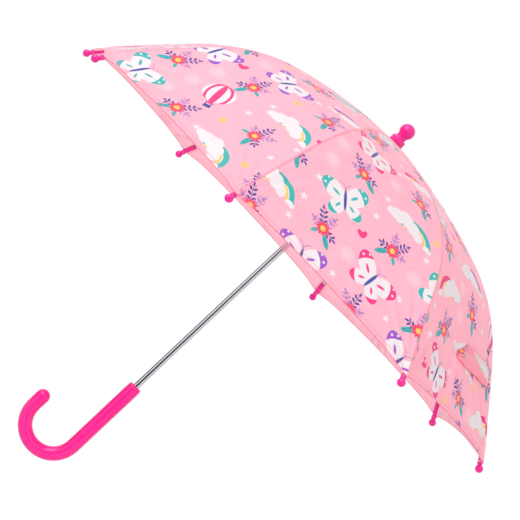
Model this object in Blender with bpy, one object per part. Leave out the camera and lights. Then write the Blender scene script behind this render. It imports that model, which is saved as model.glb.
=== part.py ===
"""A child's hook-handled umbrella, held open.

Row frame: metres, +Z along the shaft towards the ferrule, the origin at the middle of
the straight grip, the hook bending towards -X. Each rib is built once in its own frame,
whose origin is the rib's pivot in the notch (+X outwards, +Z up), and is then copied
round the shaft.
"""
import math

import bmesh
import bpy
from mathutils import Matrix, Vector

for stale in list(bpy.data.objects):
    bpy.data.objects.remove(stale, do_unlink=True)

# ------------------------------------------------------------------ driving sizes
GAP = 0.0003                       # between neighbouring pieces
SLIDE_GAP = 0.0004                 # round the shaft, inside the runner
PLAY = 0.0005                      # between pieces that turn past each other
EDGE = 0.0005                      # small chamfers

RIB_COUNT = 8
RIB_PHASE = math.radians(-13.0)    # azimuth of rib 1
TIP_PLANE_Z = 0.2745               # the plane of the rib-tip balls' centres

# Rib centre line, from the shaft's axis out to the ball's centre: three arcs that meet
# smoothly. The rib is nearly straight over the stretcher, bends beyond its rivet and runs
# nearly straight again to the tip.
RIB_SLOPE = math.radians(3.36)     # its fall where it starts
RIB_INNER = 0.1695                 # the arcs' lengths and radii
RIB_INNER_R = 0.654
RIB_BEND = 0.105
RIB_BEND_R = 0.2163
RIB_OUTER = 0.1314
RIB_OUTER_R = 1.200
RIB_WIDTH = 0.0030
RIB_HEIGHT = 0.0020
RIB_END_GAP = 0.0095               # ball centre to the end of the bar

CLOTH = 0.0006
CLOTH_LIFT = 0.0025                # rib centre line to the cloth's outer face
CLOTH_LIFT_TIP = 0.0039            # the same over the tip's sleeve
LIFT_RUN = 0.060                   # where the cloth starts to rise, from the ball
LIFT_DONE = 0.0295                 # where it has risen
CROWN_HOLE_R = 0.0055
SEAM_INSET = 0.0004
CORNER_GAP = 0.0090                # ball centre to the cloth's corner, along the rib
SCALLOP_GAP = 0.0195               # ball centre line to the rim half way between ribs

# Linkage: the rib and its stretcher make an isosceles triangle on the shaft.
PIVOT_R = 0.009                    # notch and runner pivots, from the shaft axis
NOTCH_DROP = 0.0055                # the cloth's crown to the notch pivots
LINK = 0.150                       # notch pivot to rivet, and rivet to runner pivot
TAB_DROP = 0.004                   # the rivet hangs this far under the rib's centre line
TAB_R = 0.0021
TAB_WIDTH = 0.0016
TAB_FLARE = 0.0034                 # half the tab's length where it meets the bar
FORK_WALL = 0.0008
FORK_LENGTH = 0.014
FORK_TAPER = 0.003
RIVET_R = 0.0008
RIVET_HEAD_R = 0.0016
RIVET_HEAD = 0.0006
STRETCHER_HEIGHT = 0.0026
EYE_R = 0.0023
EYE_HOLE_R = 0.0010
EYE_WIDTH = 0.0024
WIRE_R = 0.0006

HUB_R = 0.0115
HUB_CORE_R = 0.0063
HUB_RISE = 0.0029                  # the notch, above its pivots
HUB_FALL = 0.0070                  # and below them
COLLAR_HALF = 0.0045               # the runner's slotted collar, either side of its pivots
COLLAR_FLOOR = 0.0013              # under the collar's slots
COLLAR_NECK = 0.0045               # the taper from the collar to the tube
RUNNER_TUBE_R = 0.0066
RUNNER_DROP = 0.048                # pivot to the runner's lower end
RUNNER_FOOT_R = 0.0082
RUNNER_FOOT = 0.0026

SHAFT_R = 0.0040
SHAFT_BORE_R = 0.0032

HANDLE_TOP_Z = 0.0504
HANDLE_R = 0.0085
HANDLE_LIP_R = 0.0081              # the drawn-in end that the shaft enters
HANDLE_LIP = 0.0070
BORE_DEPTH = 0.040
HOOK_Z = -0.0502                   # where the grip ends and the bend begins
HOOK_R = 0.0330
HOOK_RISE = 0.0140                 # the short straight end after the half circle

FERRULE_R = 0.0095                 # the base collar, and the ball on top
FERRULE_BASE = 0.0075
FERRULE_NECK_R = 0.0066
FERRULE_SEAT = 0.0005              # the crown to the underside of the collar
FERRULE_BALL_RISE = 0.0194         # the crown to the ball's centre
SHAFT_RISE = 0.0116                # the shaft's top, above the crown

CATCH_LENGTH = 0.022
CATCH_REACH = 0.0066               # how far its nose stands out from the shaft's axis
CATCH_WIDTH = 0.0016
CATCH_BACK = 0.0010
CATCH_SLOPE = 0.0008               # the nose's top edge falls away by this

BALL_R = 0.0054
TIP_NECK_R = 0.0026
TIP_RING_R = 0.0032
SLEEVE_R = 0.00275
SLEEVE_BORE_R = 0.0021
SLEEVE_END = 0.0270                # ball centre to the sleeve's inner end
SLEEVE_FLOOR = 0.0090              # ball centre to the bottom of the sleeve's bore

STRAP_WIDTH = 0.024
STRAP_THICK = 0.0008
STRAP_DOWN = 0.309                 # from the crown to the strap's middle, along the cloth
STRAP_BULGE = 0.0012
STRAP_SPAN = (0.47, 0.93)          # its ends, as shares of the panel's width

# Sizes that follow from these.
RIB_ARCS = ((RIB_INNER, RIB_INNER_R), (RIB_BEND, RIB_BEND_R), (RIB_OUTER, RIB_OUTER_R))
RIB_LENGTH = RIB_INNER + RIB_BEND + RIB_OUTER    # crown to ball centre, along the line


def walk_rib(s):
    """Radius, fall below the start and slope, after length s of the centre line."""
    radius, fall, slope = 0.0, 0.0, RIB_SLOPE
    for length, bend in RIB_ARCS:
        run = min(s, length)
        after = slope + run / bend
        radius += bend * (math.sin(after) - math.sin(slope))
        fall += bend * (math.cos(slope) - math.cos(after))
        slope = after
        s -= run
    return radius + s * math.cos(slope), fall + s * math.sin(slope), slope


TIP_RADIUS, RIB_FALL, TIP_SLOPE = walk_rib(RIB_LENGTH)
CROWN_Z = TIP_PLANE_Z + RIB_FALL + CLOTH_LIFT
NOTCH_PIVOT_Z = CROWN_Z - NOTCH_DROP
SHAFT_TOP_Z = CROWN_Z + SHAFT_RISE
HUB_SLOT = EYE_WIDTH + 2 * GAP
HUB_BORE_R = SHAFT_R + GAP
RUNNER_BORE_R = SHAFT_R + SLIDE_GAP
RIB_START_R = HUB_R + 0.9 * RIB_WIDTH      # the bar begins outside the notch
FORK_GAP = TAB_WIDTH + 2 * GAP
FORK_WIDTH = FORK_GAP + 2 * FORK_WALL
RIVET_HOLE_R = RIVET_R + GAP


# ------------------------------------------------------------------ the rib's curve
def sector(k):
    """Azimuth of rib k (counted from 1)."""
    return RIB_PHASE + (k - 1) * 2 * math.pi / RIB_COUNT


def on_rib(s, lift=0.0):
    """(radius, height) at length s from the crown, raised square to the rib by lift."""
    radius, fall, slope = walk_rib(s)
    return Vector((radius + lift * math.sin(slope),
                   TIP_PLANE_Z + RIB_FALL - fall + lift * math.cos(slope)))


def cloth_lift(s):
    """The cloth rises a little over the tip's sleeve."""
    t = max(0.0, min(1.0, (s - (RIB_LENGTH - LIFT_RUN)) / (LIFT_RUN - LIFT_DONE)))
    return CLOTH_LIFT + (CLOTH_LIFT_TIP - CLOTH_LIFT) * t * t * (3 - 2 * t)


def rivet_point():
    """Where the stretcher is riveted: LINK from the notch pivot, TAB_DROP under the rib."""
    pivot = Vector((PIVOT_R, NOTCH_PIVOT_Z))
    low, high = PIVOT_R, RIB_LENGTH / 2
    for _ in range(60):
        s = (low + high) / 2
        if (on_rib(s, -TAB_DROP) - pivot).length < LINK:
            low = s
        else:
            high = s
    return s, on_rib(s, -TAB_DROP)


RIVET_S, RIVET = rivet_point()
LINK_TILT = math.asin((NOTCH_PIVOT_Z - RIVET.y) / LINK)
RUNNER_PIVOT_Z = NOTCH_PIVOT_Z - 2 * (NOTCH_PIVOT_Z - RIVET.y)

# Stations shared by the rib and the cloth over it, so that their facets stay parallel.
CLOTH_START = CROWN_HOLE_R
STATIONS = [CLOTH_START + (RIB_LENGTH - LIFT_DONE - CLOTH_START) * i / 14 for i in range(15)]
STATIONS.append(RIB_LENGTH - CORNER_GAP)


# ------------------------------------------------------------------ building tools
def material(name, colour, metallic=0.0, roughness=0.4):
    """A Principled material; colour is linear RGB."""
    made = bpy.data.materials.new(name)
    made.use_nodes = True
    shader = made.node_tree.nodes['Principled BSDF']
    shader.inputs['Base Color'].default_value = (*colour, 1.0)
    shader.inputs['Metallic'].default_value = metallic
    shader.inputs['Roughness'].default_value = roughness
    made.diffuse_color = (*colour, 1.0)
    return made


def add(name, mesh, parent=None, matrix=None):
    """Put a mesh in the scene as one named object."""
    made = bpy.data.objects.new(name, mesh)
    bpy.context.scene.collection.objects.link(made)
    made.parent = parent
    if matrix is not None:
        made.matrix_local = matrix
    return made


def to_mesh(name, bm):
    """Turn a bmesh into a mesh whose faces point out."""
    bmesh.ops.remove_doubles(bm, verts=bm.verts, dist=1e-7)
    bmesh.ops.recalc_face_normals(bm, faces=bm.faces)
    mesh = bpy.data.meshes.new(name)
    bm.to_mesh(mesh)
    bm.free()
    return mesh


def lathe(name, profile, sides):
    """Spin a profile of (radius, z) about Z. Ends on the axis close the solid."""
    bm = bmesh.new()
    verts = [bm.verts.new((r, 0.0, z)) for r, z in profile]
    pairs = list(zip(verts, verts[1:]))
    if profile[0][0] > 0:
        pairs.append((verts[-1], verts[0]))
    edges = [bm.edges.new(pair) for pair in pairs]
    bmesh.ops.spin(bm, geom=verts + edges, cent=(0, 0, 0), axis=(0, 0, 1),
                   angle=2 * math.pi, steps=sides, use_merge=True)
    return to_mesh(name, bm)


def loft(name, rings):
    """Join rings of points one after another, with a flat cap on each end."""
    bm = bmesh.new()
    rows = [[bm.verts.new(point) for point in ring] for ring in rings]
    for row, after in zip(rows, rows[1:]):
        count = len(row)
        for i in range(count):
            j = (i + 1) % count
            bm.faces.new((row[i], row[j], after[j], after[i]))
    bm.faces.new(rows[0])
    bm.faces.new(rows[-1])
    return to_mesh(name, bm)


def prism(name, outline, width):
    """A plate: an outline of (x, z) points, extruded by width, centred on y = 0."""
    bm = bmesh.new()
    face = bm.faces.new([bm.verts.new((x, -width / 2, z)) for x, z in outline])
    grown = bmesh.ops.extrude_face_region(bm, geom=[face])
    moved = [item for item in grown['geom'] if isinstance(item, bmesh.types.BMVert)]
    bmesh.ops.translate(bm, verts=moved, vec=(0, width, 0))
    return to_mesh(name, bm)


def cross_rod(name, radius, width, sides, x=0.0, z=0.0):
    """A round rod along y."""
    ring = [2 * math.pi * i / sides for i in range(sides)]
    return prism(name, [(x + radius * math.cos(a), z + radius * math.sin(a)) for a in ring],
                 width)


def boolean(target, operation, *tools):
    """Apply exact Booleans to target, then remove the tools."""
    for tool in tools:
        tool.hide_render = True
        tool.display_type = 'WIRE'
        step = target.modifiers.new(tool.name, 'BOOLEAN')
        step.operation = operation
        step.solver = 'EXACT'
        step.object = tool
    bpy.context.view_layer.update()
    graph = bpy.context.evaluated_depsgraph_get()
    result = bpy.data.meshes.new_from_object(target.evaluated_get(graph))
    target.modifiers.clear()
    target.data = result
    for tool in tools:
        bpy.data.objects.remove(tool, do_unlink=True)


def finish(made, look, angle=35.0):
    """Smooth shading with sharp edges, and the piece's own material."""
    mesh = made.data
    mesh.shade_smooth()
    mesh.set_sharp_from_angle(angle=math.radians(angle))
    mesh.materials.clear()
    mesh.materials.append(look)
    return made


def arc(centre, radius, start, end, steps):
    """Points (x, z) on an arc, angles in degrees."""
    turns = [math.radians(start + (end - start) * i / steps) for i in range(steps + 1)]
    return [(centre[0] + radius * math.cos(a), centre[1] + radius * math.sin(a))
            for a in turns]


PINK = material('hot_pink_plastic', (1.0, 0.028, 0.28), roughness=0.2)
CHROME = material('chrome', (0.80, 0.80, 0.82), metallic=1.0, roughness=0.12)
STEEL = material('plated_steel', (0.62, 0.62, 0.64), metallic=0.9, roughness=0.35)
BLACK = material('black_plastic', (0.03, 0.03, 0.035), roughness=0.4)
FABRIC = material('pink_fabric', (1.0, 0.45, 0.55), roughness=0.6)
STRAP = material('strap_fabric', (1.0, 0.42, 0.52), roughness=0.6)

# ------------------------------------------------------------------ shaft and handle
CATCH_TOP_Z = RUNNER_PIVOT_Z - RUNNER_DROP - GAP    # the catch's shoulder

shaft = add('shaft', lathe('shaft', [
    (SHAFT_BORE_R, HANDLE_TOP_Z - BORE_DEPTH + GAP), (SHAFT_R, HANDLE_TOP_Z - BORE_DEPTH + GAP),
    (SHAFT_R, SHAFT_TOP_Z), (SHAFT_BORE_R, SHAFT_TOP_Z)], 20))
slot_low = CATCH_TOP_Z - 0.84 * CATCH_LENGTH
slot_high = CATCH_TOP_Z + CATCH_SLOPE + PLAY
slot_in, slot_out = SHAFT_BORE_R / 2, SHAFT_R + PLAY
boolean(shaft, 'DIFFERENCE', add('shaft_slot', prism('shaft_slot', [
    (slot_in, slot_low), (slot_out, slot_low), (slot_out, slot_high), (slot_in, slot_high)],
    CATCH_WIDTH + 2 * SLIDE_GAP)))
finish(shaft, CHROME)


def handle_ring(x, z, radius, tilt=0.0, sides=16):
    """A ring across the tube; tilt turns it with the hook's bend."""
    across = Vector((math.cos(tilt), 0.0, -math.sin(tilt)))
    centre = Vector((x, 0.0, z))
    turns = [2 * math.pi * i / sides for i in range(sides)]
    return [centre + radius * (math.cos(a) * across + Vector((0, math.sin(a), 0)))
            for a in turns]


handle_rings = [handle_ring(0, HANDLE_TOP_Z - BORE_DEPTH, HUB_BORE_R),
                handle_ring(0, HANDLE_TOP_Z, HUB_BORE_R),
                handle_ring(0, HANDLE_TOP_Z, HANDLE_LIP_R - EDGE),
                handle_ring(0, HANDLE_TOP_Z - EDGE, HANDLE_LIP_R),
                handle_ring(0, HANDLE_TOP_Z - HANDLE_LIP, HANDLE_R),
                handle_ring(0, HOOK_Z + HANDLE_R / 3, HANDLE_R)]
for i in range(15):
    turn = math.pi * i / 14
    handle_rings.append(handle_ring(HOOK_R * (math.cos(turn) - 1),
                                    HOOK_Z - HOOK_R * math.sin(turn), HANDLE_R, turn))
for i in range(4):
    turn = math.radians(26 * i)
    handle_rings.append(handle_ring(-2 * HOOK_R, HOOK_Z + HOOK_RISE + HANDLE_R * math.sin(turn),
                                    HANDLE_R * math.cos(turn), math.pi))
handle = finish(add('handle', loft('handle', handle_rings)), PINK, 40)

ball_z = CROWN_Z + FERRULE_BALL_RISE
seat_z = CROWN_Z + FERRULE_SEAT
collar_z = seat_z + FERRULE_BASE
ferrule_profile = [(0, SHAFT_TOP_Z + GAP), (HUB_BORE_R, SHAFT_TOP_Z + GAP),
                   (HUB_BORE_R, seat_z), (FERRULE_R - EDGE, seat_z),
                   (FERRULE_R, seat_z + EDGE), (FERRULE_R, collar_z - EDGE),
                   (FERRULE_R - EDGE, collar_z), (FERRULE_NECK_R, collar_z)]
neck_turn = -math.degrees(math.acos(FERRULE_NECK_R / FERRULE_R))
ferrule_profile += arc((0, ball_z), FERRULE_R, neck_turn, 90, 8)
ferrule_profile[-1] = (0, ball_z + FERRULE_R)
ferrule = finish(add('ferrule', lathe('ferrule', ferrule_profile, 20)), PINK)


# ------------------------------------------------------------------ notch and runner
def hub_slots(low, high):
    """Eight radial boxes, one for each rib, as a single cutting object."""
    bm = bmesh.new()
    reach = 1.3 * HUB_R
    for k in range(1, RIB_COUNT + 1):
        place = (Matrix.Rotation(sector(k), 4, 'Z')
                 @ Matrix.Translation(((HUB_CORE_R + reach) / 2, 0, (low + high) / 2))
                 @ Matrix.Diagonal((reach - HUB_CORE_R, HUB_SLOT, high - low, 1)))
        bmesh.ops.create_cube(bm, size=1.0, matrix=place)
    return add('hub_slots', to_mesh('hub_slots', bm))


def wire_groove(z):
    """The groove round a hub that its ring wire lies in."""
    deep, half = PIVOT_R - EYE_HOLE_R, EYE_HOLE_R
    return add('wire_groove', lathe('wire_groove', [
        (deep, z - half), (1.2 * HUB_R, z - half), (1.2 * HUB_R, z + half), (deep, z + half)],
        32))


def ring_wire(name, z):
    """The wire ring that the eyes hang on."""
    turns = arc((PIVOT_R, z), WIRE_R, 0, 360, 6)[:-1]
    return finish(add(name, lathe(name, turns, 24)), STEEL, 60)


notch = add('top_notch', lathe('top_notch', [
    (HUB_BORE_R, NOTCH_PIVOT_Z - HUB_FALL), (HUB_R, NOTCH_PIVOT_Z - HUB_FALL),
    (HUB_R, NOTCH_PIVOT_Z + HUB_RISE), (HUB_BORE_R, NOTCH_PIVOT_Z + HUB_RISE)], 32))
boolean(notch, 'DIFFERENCE',
        hub_slots(NOTCH_PIVOT_Z - 1.5 * HUB_FALL, NOTCH_PIVOT_Z + 2 * HUB_RISE),
        wire_groove(NOTCH_PIVOT_Z))
finish(notch, BLACK)
notch_wire = ring_wire('notch_wire', NOTCH_PIVOT_Z)

runner_pivot = add('runner_axis', None, matrix=Matrix.Translation((0, 0, RUNNER_PIVOT_Z)))
tube_top = -COLLAR_HALF - COLLAR_NECK
runner = add('runner', lathe('runner', [
    (RUNNER_BORE_R, COLLAR_HALF), (HUB_R, COLLAR_HALF), (HUB_R, -COLLAR_HALF),
    (RUNNER_TUBE_R + 2 * EDGE, tube_top + 3 * EDGE), (RUNNER_TUBE_R, tube_top),
    (RUNNER_TUBE_R, RUNNER_FOOT + 3 * EDGE - RUNNER_DROP),
    (RUNNER_FOOT_R, RUNNER_FOOT - RUNNER_DROP), (RUNNER_FOOT_R, -RUNNER_DROP),
    (RUNNER_BORE_R, -RUNNER_DROP)], 32))
boolean(runner, 'DIFFERENCE', hub_slots(COLLAR_FLOOR - COLLAR_HALF, 2 * COLLAR_HALF),
        wire_groove(0.0))
finish(runner, BLACK)
runner.parent = runner_pivot
runner_wire = ring_wire('runner_wire', 0.0)
runner_wire.parent = runner_pivot

catch_axis = add('top_catch_axis', None,
                 matrix=Matrix.Translation((0, 0, CATCH_TOP_Z - CATCH_LENGTH)))
catch = finish(add('top_catch', prism('top_catch', [
    (-CATCH_BACK, -1.4 * CATCH_BACK), (CATCH_BACK, -1.4 * CATCH_BACK),
    (1.4 * CATCH_BACK, 4 * CATCH_BACK), (CATCH_REACH, CATCH_LENGTH - 2 * CATCH_SLOPE),
    (CATCH_REACH, CATCH_LENGTH - CATCH_SLOPE), (SHAFT_R, CATCH_LENGTH),
    (CATCH_BACK / 2, CATCH_LENGTH), (-CATCH_BACK, 4 * CATCH_BACK)], CATCH_WIDTH), catch_axis),
    STEEL)

# ------------------------------------------------------------------ one rib's pieces
PIVOT = Vector((PIVOT_R, NOTCH_PIVOT_Z))


def from_pivot(point):
    """A (radius, height) in the rib's frame."""
    return point - PIVOT


def rib_mesh():
    """A bar under the cloth, with a flat eye at the notch and a tab for the rivet."""
    half_w, half_h, chamfer = RIB_WIDTH / 2, RIB_HEIGHT / 2, EDGE
    section = [(half_w - chamfer, -half_h), (half_w, chamfer - half_h),
               (half_w, half_h - chamfer), (half_w - chamfer, half_h),
               (chamfer - half_w, half_h), (-half_w, half_h - chamfer),
               (-half_w, chamfer - half_h), (chamfer - half_w, -half_h)]
    start = RIB_START_R / math.cos(RIB_SLOPE)
    end = RIB_LENGTH - RIB_END_GAP
    stations = [start] + [s for s in STATIONS if start + RIB_START_R < s < end] + [end]
    rings = []
    for s in stations:
        foot = from_pivot(on_rib(s))
        up = on_rib(s, 1.0) - on_rib(s)
        rings.append([(foot.x + up.x * v, w, foot.y + up.y * v) for w, v in section])
    bar = add('rib', loft('rib', rings))

    lug_end = from_pivot(on_rib(start + RIB_WIDTH))
    side = Vector((lug_end.y, -lug_end.x)).normalized()
    tilt = math.degrees(math.atan2(side.y, side.x))
    lug = arc((0, 0), EYE_R, tilt, tilt - 180, 8)
    thin = 0.4 * RIB_HEIGHT
    lug += [tuple(lug_end - side * thin), tuple(lug_end + side * thin)]
    eye = add('rib_eye', prism('rib_eye', lug, EYE_WIDTH))

    foot, hang = from_pivot(on_rib(RIVET_S)), from_pivot(RIVET)
    up = (foot - hang).normalized()
    along = Vector((up.y, -up.x))
    tilt = math.degrees(math.atan2(along.y, along.x))
    tab = arc(hang, TAB_R, tilt, tilt - 180, 8)
    tab += [tuple(foot - along * TAB_FLARE), tuple(foot + along * TAB_FLARE)]
    tab_plate = add('rib_tab', prism('rib_tab', tab, TAB_WIDTH))

    boolean(bar, 'UNION', eye, tab_plate)
    boolean(bar, 'DIFFERENCE',
            add('eye_hole', cross_rod('eye_hole', EYE_HOLE_R, 2 * EYE_WIDTH, 8)),
            add('tab_hole', cross_rod('tab_hole', RIVET_HOLE_R, 2 * TAB_WIDTH, 8,
                                      hang.x, hang.y)))
    mesh = bar.data
    bpy.data.objects.remove(bar, do_unlink=True)
    return mesh


def stretcher_mesh():
    """Origin at the rivet, +X towards the runner: a bar, a fork and an eye."""
    half, bend = STRETCHER_HEIGHT / 2, 1.8 * EYE_R
    root = FORK_LENGTH - FORK_TAPER - EDGE
    bar = add('stretcher', prism('stretcher', [(root, -half), (LINK - bend, -half)]
              + arc((LINK, 0), EYE_R, -90, 90, 8) + [(LINK - bend, half), (root, half)],
              EYE_WIDTH))
    fork = add('fork', prism('fork', arc((0, 0), TAB_R, 90, 270, 8)
               + [(FORK_LENGTH - FORK_TAPER, -TAB_R), (FORK_LENGTH, -half - EDGE / 5),
                  (FORK_LENGTH, half + EDGE / 5), (FORK_LENGTH - FORK_TAPER, TAB_R)],
               FORK_WIDTH))
    boolean(bar, 'UNION', fork)
    deep, wide = 2.6 * TAB_R, 2 * TAB_R
    boolean(bar, 'DIFFERENCE',
            add('fork_slot', prism('fork_slot', [(-wide, -wide), (deep, -wide), (deep, wide),
                                                 (-wide, wide)], FORK_GAP)),
            add('fork_hole', cross_rod('fork_hole', RIVET_HOLE_R, 2 * FORK_WIDTH, 8)),
            add('end_hole', cross_rod('end_hole', EYE_HOLE_R, 2 * EYE_WIDTH, 8, LINK, 0.0)))
    mesh = bar.data
    bpy.data.objects.remove(bar, do_unlink=True)
    return mesh


def panel_point(u, s):
    """The cloth's outer face: a straight line across from rib to rib, in the row frame."""
    foot = on_rib(s, cloth_lift(s))
    near = Vector((foot.x, 0.0, foot.y))
    far = Matrix.Rotation(2 * math.pi / RIB_COUNT, 3, 'Z') @ near
    width = (far - near).length
    return near.lerp(far, (SEAM_INSET + u * (width - 2 * SEAM_INSET)) / width)


def rim_share(u):
    """How far the scalloped rim draws in from the corners' line at u."""
    return 1.0 - (2 * u - 1) ** 2


def panel_mesh(across=6):
    """One gore of cloth, closed and thin, its inner face a cloth's thickness inside."""
    bm = bmesh.new()
    outer, inner = [], []
    whole = STATIONS[-1] - CLOTH_START
    for s in STATIONS:
        for i in range(across + 1):
            u = i / across
            reach = whole - (SCALLOP_GAP - CORNER_GAP) * rim_share(u)
            here = CLOTH_START + (s - CLOTH_START) / whole * reach
            point = panel_point(u, here)
            down = panel_point(u, here + CLOTH) - panel_point(u, here - CLOTH)
            side = panel_point(1.0, here) - panel_point(0.0, here)
            normal = side.cross(down).normalized()
            if normal.z < 0:
                normal.negate()
            shift = Vector((PIVOT_R, 0.0, NOTCH_PIVOT_Z))
            outer.append(bm.verts.new(point - shift))
            inner.append(bm.verts.new(point - normal * CLOTH - shift))
    wide = across + 1
    for j in range(len(STATIONS) - 1):
        for i in range(across):
            a = j * wide + i
            loop = (a, a + 1, a + wide + 1, a + wide)
            bm.faces.new([outer[n] for n in loop])
            bm.faces.new([inner[n] for n in reversed(loop)])
    last = (len(STATIONS) - 1) * wide
    border = ([(i, i + 1) for i in range(across)]
              + [(last + i + 1, last + i) for i in range(across)]
              + [((j + 1) * wide, j * wide) for j in range(len(STATIONS) - 1)]
              + [(j * wide + across, (j + 1) * wide + across)
                 for j in range(len(STATIONS) - 1)])
    for a, b in border:
        bm.faces.new((outer[b], outer[a], inner[a], inner[b]))
    return to_mesh('canopy_panel', bm)


def strap_mesh():
    """The closing strap, sewn at one end and lying on its panel."""
    bm = bmesh.new()
    length, width = 12, 2
    outer, inner = [], []
    shift = Vector((PIVOT_R, 0.0, NOTCH_PIVOT_Z))
    for i in range(length + 1):
        t = i / length
        for j in range(width + 1):
            u = STRAP_SPAN[0] + (STRAP_SPAN[1] - STRAP_SPAN[0]) * t
            s = STRAP_DOWN + STRAP_WIDTH * (0.125 - 0.25 * t + j / width - 0.5)
            point = panel_point(u, s)
            side = panel_point(1.0, s) - panel_point(0.0, s)
            down = panel_point(u, s + CLOTH) - panel_point(u, s - CLOTH)
            normal = side.cross(down).normalized()
            if normal.z < 0:
                normal.negate()
            base = point + normal * (GAP + STRAP_BULGE * math.sin(math.pi * t)) - shift
            inner.append(bm.verts.new(base))
            outer.append(bm.verts.new(base + normal * STRAP_THICK))
    wide = width + 1
    for i in range(length):
        for j in range(width):
            a = i * wide + j
            loop = (a, a + 1, a + wide + 1, a + wide)
            bm.faces.new([outer[n] for n in loop])
            bm.faces.new([inner[n] for n in reversed(loop)])
    last = length * wide
    border = ([(j, j + 1) for j in range(width)] + [(last + j + 1, last + j) for j in range(width)]
              + [((i + 1) * wide, i * wide) for i in range(length)]
              + [(i * wide + width, (i + 1) * wide + width) for i in range(length)])
    for a, b in border:
        bm.faces.new((outer[b], outer[a], inner[a], inner[b]))
    return to_mesh('closing_strap', bm)


# The tip's profile along its own +Z, which points in along the rib from the ball.
neck_turn = math.degrees(math.acos(TIP_NECK_R / BALL_R))
tip_profile = arc((0, 0), BALL_R, -90, neck_turn, 6)
tip_profile[0] = (0, -BALL_R)
tip_profile += [(TIP_NECK_R, BALL_R), (TIP_RING_R, BALL_R + EDGE),
                (TIP_RING_R, SLEEVE_FLOOR - 2 * EDGE), (SLEEVE_R, SLEEVE_FLOOR - EDGE),
                (SLEEVE_R, SLEEVE_END), (SLEEVE_BORE_R, SLEEVE_END),
                (SLEEVE_BORE_R, SLEEVE_FLOOR), (0, SLEEVE_FLOOR)]
# The rivet's profile along its own axis: a head, the shank and the other head.
under_head = FORK_WIDTH / 2 + GAP
over_head = under_head + RIVET_HEAD
rivet_profile = [(0, -over_head), (RIVET_HEAD_R, -over_head), (RIVET_HEAD_R, -under_head),
                 (RIVET_R, -under_head), (RIVET_R, under_head), (RIVET_HEAD_R, under_head),
                 (RIVET_HEAD_R, over_head), (0, over_head)]

rib_shape = rib_mesh()
stretcher_shape = stretcher_mesh()
tip_shape = lathe('rib_tip', tip_profile, 12)
rivet_shape = lathe('rivet', rivet_profile, 8)
panel_shape = panel_mesh()

ball = from_pivot(on_rib(RIB_LENGTH))
tip_place = (Matrix.Translation((ball.x, 0, ball.y))
             @ Matrix.Rotation(TIP_SLOPE - math.pi / 2, 4, 'Y'))
hang = from_pivot(RIVET)
rivet_place = Matrix.Translation((hang.x, 0, hang.y)) @ Matrix.Rotation(math.pi / 2, 4, 'X')

for k in range(1, RIB_COUNT + 1):
    pivot = add(f'rib_axis_{k}', None, matrix=Matrix.Rotation(sector(k), 4, 'Z')
                @ Matrix.Translation((PIVOT_R, 0, NOTCH_PIVOT_Z)))
    finish(add(f'rib_{k}', rib_shape, pivot), STEEL)
    finish(add(f'rib_tip_{k}', tip_shape, pivot, tip_place), PINK, 40)
    finish(add(f'rivet_{k}', rivet_shape, pivot, rivet_place), CHROME)
    finish(add(f'canopy_panel_{k}', panel_shape, pivot), FABRIC, 60)
    link = add(f'stretcher_axis_{k}', None, pivot,
               Matrix.Translation((hang.x, 0, hang.y))
               @ Matrix.Rotation(math.pi - LINK_TILT, 4, 'Y'))
    finish(add(f'stretcher_{k}', stretcher_shape, link), STEEL)
    if k == RIB_COUNT:
        finish(add('closing_strap', strap_mesh(), pivot), STRAP, 60)

bpy.context.view_layer.update()
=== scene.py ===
# %% [markdown]
# # A child's umbrella
# The umbrella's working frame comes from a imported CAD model: every node is a mesh in
# metres, in one shared frame whose +Z runs up the shaft and whose origin is the middle of
# the grip. This notebook dresses that frame. Hard pieces that the CAD model draws well
# enough keep their meshes and get a material; the cloth, the handle and the other pieces
# that catch the light are modelled again here, finer.

# %% Load the frame
import math

import bmesh
import bpy
from mathutils import Matrix, Vector, noise


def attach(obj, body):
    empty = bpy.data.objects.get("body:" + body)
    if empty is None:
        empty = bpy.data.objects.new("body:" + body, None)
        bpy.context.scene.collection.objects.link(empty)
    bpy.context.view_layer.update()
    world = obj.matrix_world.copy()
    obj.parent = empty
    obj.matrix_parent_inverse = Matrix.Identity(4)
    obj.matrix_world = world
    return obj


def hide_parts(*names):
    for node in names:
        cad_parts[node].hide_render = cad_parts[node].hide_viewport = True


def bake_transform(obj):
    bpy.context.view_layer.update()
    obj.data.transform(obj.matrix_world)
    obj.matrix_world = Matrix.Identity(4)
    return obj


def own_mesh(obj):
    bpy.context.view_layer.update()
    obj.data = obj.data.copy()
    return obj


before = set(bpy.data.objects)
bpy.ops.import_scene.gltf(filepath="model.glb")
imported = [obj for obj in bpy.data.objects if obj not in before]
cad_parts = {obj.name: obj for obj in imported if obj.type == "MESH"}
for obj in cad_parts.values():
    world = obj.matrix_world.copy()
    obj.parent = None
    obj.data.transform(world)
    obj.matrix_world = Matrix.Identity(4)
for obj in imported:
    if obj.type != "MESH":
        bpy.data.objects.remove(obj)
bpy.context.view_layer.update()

# %% [markdown]
# ## Small helpers
# Every piece is a mesh with materials, linked into the scene.

# %% Objects, meshes and materials
scene = bpy.context.scene


def linked(name, data):
    """A new object in the scene."""
    made = bpy.data.objects.new(name, data)
    scene.collection.objects.link(made)
    return made


def mesh_of(name, bm, *looks):
    """A mesh with its materials from a bmesh, which is used up."""
    mesh = bpy.data.meshes.new(name)
    bm.to_mesh(mesh)
    bm.free()
    for look in looks:
        mesh.materials.append(look)
    return mesh


def applied(piece, sharp):
    """Work a piece's modifiers into its mesh, with edges over an angle kept sharp."""
    bpy.context.view_layer.update()
    graph = bpy.context.evaluated_depsgraph_get()
    piece.data = bpy.data.meshes.new_from_object(piece.evaluated_get(graph))
    piece.modifiers.clear()
    piece.data.set_sharp_from_angle(angle=math.radians(sharp))


def new_look(name):
    """A material, its node tree and its shader."""
    look = bpy.data.materials.new(name)
    look.use_nodes = True
    return look, look.node_tree, look.node_tree.nodes["Principled BSDF"]


print("helpers ready")

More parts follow.
